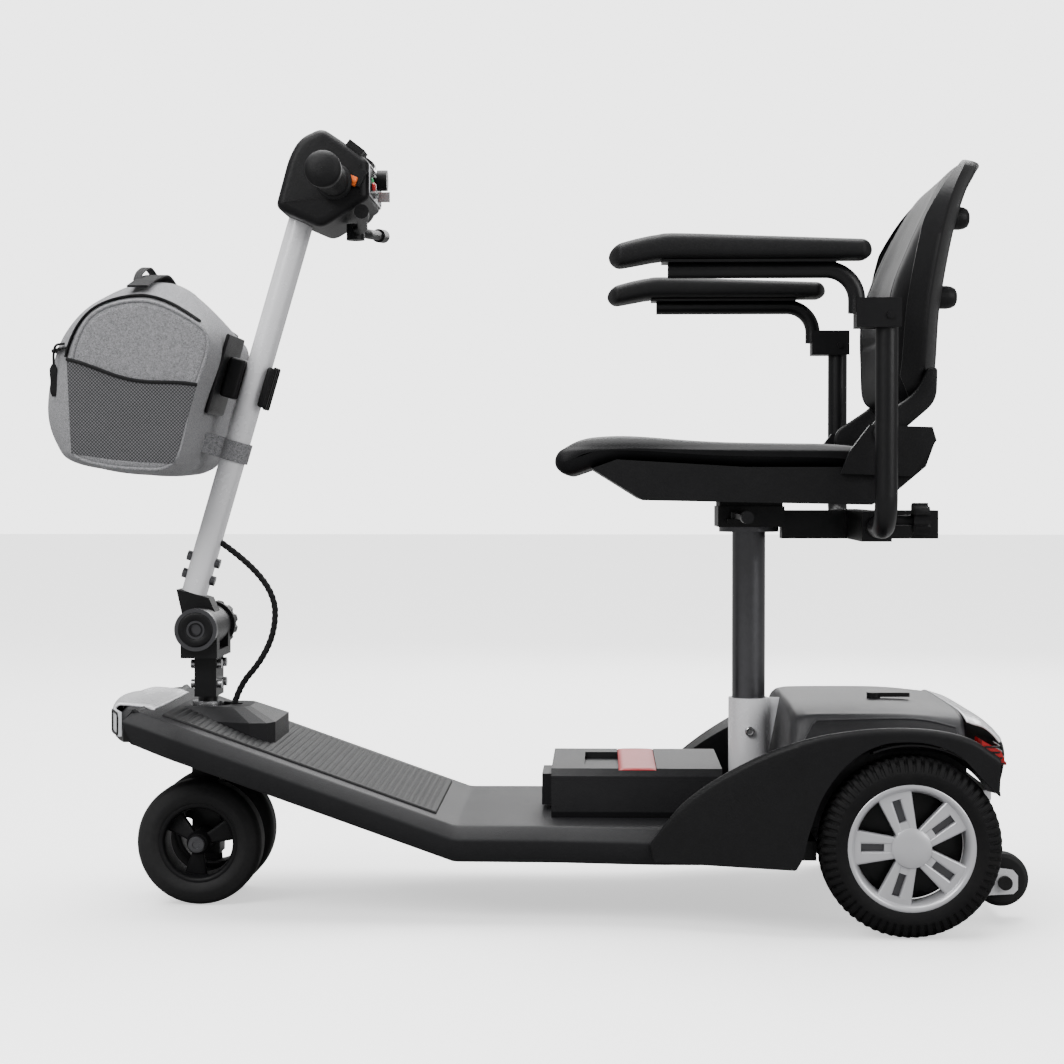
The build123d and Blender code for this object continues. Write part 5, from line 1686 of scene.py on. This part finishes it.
class ScooterLooks(PropertyGroup):
    """Colours that a maker would change."""

    body: FloatVectorProperty(
        name="Body", description="Deck and battery box", subtype="COLOR", size=3, min=0, max=1,
        default=(0.0105, 0.0105, 0.0115)
    )
    trim: FloatVectorProperty(
        name="Trim", description="Fenders, head and shells", subtype="COLOR", size=3, min=0, max=1,
        default=(0.005, 0.005, 0.0055)
    )
    cover: FloatVectorProperty(
        name="Rear cover", description="Cover over the drive", subtype="COLOR", size=3, min=0, max=1,
        default=(0.028, 0.028, 0.03)
    )
    lacquer: FloatVectorProperty(
        name="Lacquer", description="Rear rims", subtype="COLOR", size=3, min=0, max=1,
        default=(0.5, 0.5, 0.52)
    )
    pearl: FloatVectorProperty(
        name="Pearl", description="Tiller tube, nose and tail", subtype="COLOR", size=3, min=0, max=1,
        default=(0.78, 0.78, 0.8)
    )
    vinyl: FloatVectorProperty(
        name="Vinyl", description="Seat and backrest", subtype="COLOR", size=3, min=0, max=1,
        default=(0.0045, 0.0045, 0.005)
    )
    cloth: FloatVectorProperty(
        name="Cloth", description="Dark threads of the bag", subtype="COLOR", size=3, min=0, max=1,
        default=(0.07, 0.07, 0.074)
    )
    cloth_fleck: FloatVectorProperty(
        name="Cloth fleck", description="Light threads of the bag", subtype="COLOR", size=3, min=0,
        max=1, default=(0.4, 0.4, 0.415)
    )
    band: FloatVectorProperty(
        name="Band", description="Band over the battery", subtype="COLOR", size=3, min=0, max=1,
        default=(0.38, 0.02, 0.025)
    )
    lamp: FloatVectorProperty(
        name="Tail lamp", description="Rear lenses", subtype="COLOR", size=3, min=0, max=1,
        default=(0.45, 0.004, 0.006)
    )


def sizes():
    """Sizes of this scene."""
    return bpy.context.scene.scooter_sizes


def looks():
    """Colours of this scene."""
    return bpy.context.scene.scooter_looks


def orange_moulding():
    return finish("orange moulding", (0.8, 0.13, 0.004), 0.4, scale=1500.0, depth=0.1)


FLOOR_GLOW = 0.9


def pale_floor():
    """Floor: pale where it is looked at, darker in what it throws back on to the pieces above it."""
    material = finish(
        "pale floor", (0.9, 0.9, 0.9), 0.9, worn=(0.885, 0.885, 0.885), scale=300.0, depth=0.0,
        shine=0.0
    )
    tree = material.node_tree
    shader = tree.nodes["Principled BSDF"]
    paint = shader.inputs["Base Color"].links[0].from_socket
    seen = tree.nodes.new("ShaderNodeLightPath").outputs["Is Camera Ray"]
    share = tree.nodes.new("ShaderNodeMix")
    share.data_type = "RGBA"
    share.inputs[6].default_value = (0.22, 0.22, 0.22, 1)
    tree.links.new(seen, share.inputs[0])
    tree.links.new(paint, share.inputs[7])
    tree.links.new(share.outputs[2], shader.inputs["Base Color"])
    glow = math_node(tree, "MULTIPLY", seen, FLOOR_GLOW)
    shader.inputs["Emission Color"].default_value = (1, 1, 1, 1)
    tree.links.new(glow, shader.inputs["Emission Strength"])
    return material


def green_moulding():
    return finish("green moulding", (0.03, 0.35, 0.12), 0.35, scale=1500.0, depth=0.1)


def carry_over(material, *nodes, width=0.8):
    """Several CAD pieces that keep their shape, with one finish."""
    for node in nodes:
        bevel_cad(node, material, width)


# ---------------------------------------------------------------- operators
class SCOOTER_OT_stage(Operator):
    """Floor, soft lights and the camera."""

    bl_idname = "scooter.stage"
    bl_label = "Stage"

    def execute(self, context):
        half = sizes().stage_size / 2
        t = np.linspace(-1, 1, 41)
        x, y = np.meshgrid(t * half, t * half, indexing="ij")
        floor = Shell().grid(np.stack([x, y, 0 * x - 0.0002], axis=2) / MM)
        mesh = bpy.data.meshes.new("floor")
        mesh.from_pydata((np.vstack(floor.points) * MM).tolist(), [], floor.faces)
        piece = bpy.data.objects.new("floor", mesh)
        context.scene.collection.objects.link(piece)
        mesh.materials.append(pale_floor())
        for name, place, size, power in AREA_LIGHTS:
            lamp = bpy.data.lights.new(name, "AREA")
            lamp.size = size
            lamp.energy = power
            light = bpy.data.objects.new(name, lamp)
            context.scene.collection.objects.link(light)
            light.location = place
            light.rotation_euler = (
                Vector(LIGHTS_AIM) - Vector(place)
            ).to_track_quat("-Z", "Y").to_euler()
        daylight = bpy.data.lights.new("soft overhead", "SUN")
        daylight.energy = DAYLIGHT_STRENGTH
        daylight.angle = math.radians(DAYLIGHT_WIDTH)
        overhead = bpy.data.objects.new("soft overhead", daylight)
        context.scene.collection.objects.link(overhead)
        overhead.rotation_euler = (math.radians(-14), math.radians(-10), 0)
        world = bpy.data.worlds.new("soft white")
        world.use_nodes = True
        tree = world.node_tree
        tree.nodes["Background"].inputs["Color"].default_value = (1, 1, 1, 1)
        seen = tree.nodes.new("ShaderNodeLightPath").outputs["Is Camera Ray"]
        strength = math_node(
            tree, "ADD", math_node(tree, "MULTIPLY", seen, BACKDROP_SEEN), BACKDROP_LIGHT
        )
        tree.links.new(strength, tree.nodes["Background"].inputs["Strength"])
        context.scene.world = world
        camera = bpy.data.cameras.new("camera")
        camera.lens = CAMERA_LENS
        camera.sensor_width = CAMERA_SENSOR
        view = bpy.data.objects.new("camera", camera)
        context.scene.collection.objects.link(view)
        view.location = CAMERA_PLACE
        view.rotation_euler = (math.radians(90 - CAMERA_DOWN), 0, math.radians(CAMERA_ASIDE))
        context.scene.camera = view
        return {"FINISHED"}


class SCOOTER_OT_harness(Operator):
    """Spiral-wrapped harness from the tiller tube to the column cover."""

    bl_idname = "scooter.harness"
    bl_label = "Wiring harness"

    def execute(self, context):
        harness()
        return {"FINISHED"}


class SCOOTER_OT_rear_wheels(Operator):
    """Rear tyres with block tread and silver five-spoke rims."""

    bl_idname = "scooter.rear_wheels"
    bl_label = "Rear wheels"

    def execute(self, context):
        for sign, name in ((-1, "left"), (1, "right")):
            rear_tyres(sign, name)
            rear_rims(sign, name)
        return {"FINISHED"}


class SCOOTER_OT_front_wheels(Operator):
    """Front tyres, black rims, and the fork that carries them."""

    bl_idname = "scooter.front_wheels"
    bl_label = "Front wheels"

    def execute(self, context):
        for sign, name in ((-1, "left"), (1, "right")):
            front_tyres(sign, name)
            front_rims(sign, name)
            places = [(FRONT_AXLE[0], sign * FRONT_BOLT_OUT, FRONT_AXLE[1], sign)]
            bolt_heads(
                "front hub bolt " + name, places, "front_wheel_" + name, "front_rim_" + name, 10.0, 2.6,
                "y"
            )
        carry_over(black_coat(), "steering_fork")
        carry_over(bright_steel(), "column_hardware", width=0.5)
        return {"FINISHED"}


class SCOOTER_OT_deck(Operator):
    """Deck moulding, ribbed mat, column cover, nose cap and headlamps."""

    bl_idname = "scooter.deck"
    bl_label = "Deck"

    def execute(self, context):
        deck_body()
        deck_mat()
        nose_skin()
        nose_housing()
        bevel_cad("column_cover", charcoal(), 5.0, angle=10)
        carry_over(lens("clear lens", (0.9, 0.92, 0.95), 0.08, 0.35), "headlamps", width=0.6)
        lamp_frames()
        lamp_bowls()
        carry_over(black_coat(), "main_frame", width=1.5)
        carry_over(bright_steel(), "chassis_screws", width=0.4)
        return {"FINISHED"}


class SCOOTER_OT_battery(Operator):
    """Battery box, lid and red lifting band."""

    bl_idname = "scooter.battery"
    bl_label = "Battery box"

    def execute(self, context):
        carry_over(charcoal(), "battery_case", "battery_lid", width=2.0)
        battery_band()
        return {"FINISHED"}


class SCOOTER_OT_rear_body(Operator):
    """Fenders, rear cover, tail panel, lamps, drive and anti-tip wheels."""

    bl_idname = "scooter.rear_body"
    bl_label = "Rear body"

    def execute(self, context):
        for sign, name in ((-1, "left"), (1, "right")):
            fender(sign, name)
        fender_liners()
        rear_cover()
        cover_trim()
        tail_panel()
        carry_over(lens("red lens", tuple(looks().lamp), 0.08, 0.35), "tail_lamps", width=1.0)
        lamp_ribs()
        carry_over(dark_steel(), "drive_unit", width=2.0)
        carry_over(white_lacquer(), "post_sleeve", "anti_tip_brackets", width=1.2)
        carry_over(grey_rubber(), "anti_tip_wheels", width=2.0)
        carry_over(black_moulding(), "freewheel_lever", width=1.0)
        sleeve = [(251.5, -24.8, 206.0, -1)]
        bolt_heads("sleeve bolt", sleeve, "chassis", "post_sleeve", 6.0, 4.0, "y", bright_steel())
        return {"FINISHED"}


class SCOOTER_OT_tiller(Operator):
    """Folding hinge, tiller tube, head, controls and grips."""

    bl_idname = "scooter.tiller"
    bl_label = "Tiller"

    def execute(self, context):
        carry_over(black_coat(), "hinge_lower", "hinge_upper", width=1.5)
        hinge_rings()
        carry_over(black_moulding(), "clamp_knob", width=1.2)
        carry_over(white_lacquer(), "tiller_tube", width=0.5)
        carry_over(dark_steel(), "tiller_bolts", width=0.8)
        tiller_head()
        grips()
        carry_over(black_moulding(), "console_panel", "throttle_lever", "speed_dial", width=0.8)
        carry_over(bright_steel(), "ignition_key", width=0.4)
        switch_block()
        panel_trim()
        small_dome(
            "horn button", (-203.5, -30, 866), 5.8, 3.2, green_moulding(), "horn", ["horn_button"],
            "horn_button"
        )
        small_dome(
            "power lamp", (-198.2, -46, 858), 5.3, 2.4,
            lens("red indicator", (0.7, 0.02, 0.02), 0.1, 0.3), "tiller", (), "console_panel"
        )
        return {"FINISHED"}


class SCOOTER_OT_bag(Operator):
    """Front bag with piping, zips, pockets, handle, clip and strap."""

    bl_idname = "scooter.bag"
    bl_label = "Front bag"

    def execute(self, context):
        bag_cloth()
        bag_piping()
        bag_zip()
        bag_pocket()
        bag_handle()
        bag_pull()
        clip_plate()
        bag_strap()
        return {"FINISHED"}


class SCOOTER_OT_seat(Operator):
    """Seat post, swivel, pan and cushion."""

    bl_idname = "scooter.seat"
    bl_label = "Seat"

    def execute(self, context):
        carry_over(dark_steel(), "seat_post", width=0.8)
        carry_over(black_coat(), "seat_swivel", "swivel_lever", width=1.2)
        carry_over(black_moulding(), "seat_pan", width=2.0)
        seat_cushion()
        return {"FINISHED"}


class SCOOTER_OT_backrest(Operator):
    """Backrest shell and cushion."""

    bl_idname = "scooter.backrest"
    bl_label = "Backrest"

    def execute(self, context):
        back_shell()
        back_pad()
        return {"FINISHED"}


class SCOOTER_OT_armrests(Operator):
    """Armrest posts, arms, pads and clamp knobs."""

    bl_idname = "scooter.armrests"
    bl_label = "Armrests"

    def execute(self, context):
        carry_over(black_coat(), "arm_post_left", "arm_post_right", "arm_left", "arm_right", width=1.2)
        carry_over(black_moulding(), "arm_knob_left", "arm_knob_right", width=1.0)
        for sign, name in ((-1, "left"), (1, "right")):
            arm_pads(sign, name)
        return {"FINISHED"}


PIECES = (
    SCOOTER_OT_stage,
    SCOOTER_OT_harness,
    SCOOTER_OT_deck,
    SCOOTER_OT_battery,
    SCOOTER_OT_rear_body,
    SCOOTER_OT_rear_wheels,
    SCOOTER_OT_front_wheels,
    SCOOTER_OT_tiller,
    SCOOTER_OT_bag,
    SCOOTER_OT_seat,
    SCOOTER_OT_backrest,
    SCOOTER_OT_armrests,
)


class SCOOTER_PT_panel(Panel):
    """Lists the scooter's sizes, colours and pieces."""

    bl_idname = "SCOOTER_PT_panel"
    bl_label = "Mobility scooter"
    bl_space_type = "VIEW_3D"
    bl_region_type = "UI"
    bl_category = "Scooter"

    def draw(self, context):
        for group in (context.scene.scooter_sizes, context.scene.scooter_looks):
            box = self.layout.box()
            for name in group.__annotations__:
                box.prop(group, name)
        for piece in PIECES:
            self.layout.operator(piece.bl_idname)


CLASSES = (ScooterSizes, ScooterLooks) + PIECES + (SCOOTER_PT_panel,)


def register():
    for item in CLASSES:
        bpy.utils.register_class(item)
    bpy.types.Scene.scooter_sizes = PointerProperty(type=ScooterSizes)
    bpy.types.Scene.scooter_looks = PointerProperty(type=ScooterLooks)


def unregister():
    del bpy.types.Scene.scooter_looks
    del bpy.types.Scene.scooter_sizes
    for item in reversed(CLASSES):
        bpy.utils.unregister_class(item)


def main():
    register()
    for piece in PIECES:
        group, name = piece.bl_idname.split(".")
        getattr(getattr(bpy.ops, group), name)()


if __name__ == "__main__":
    main()
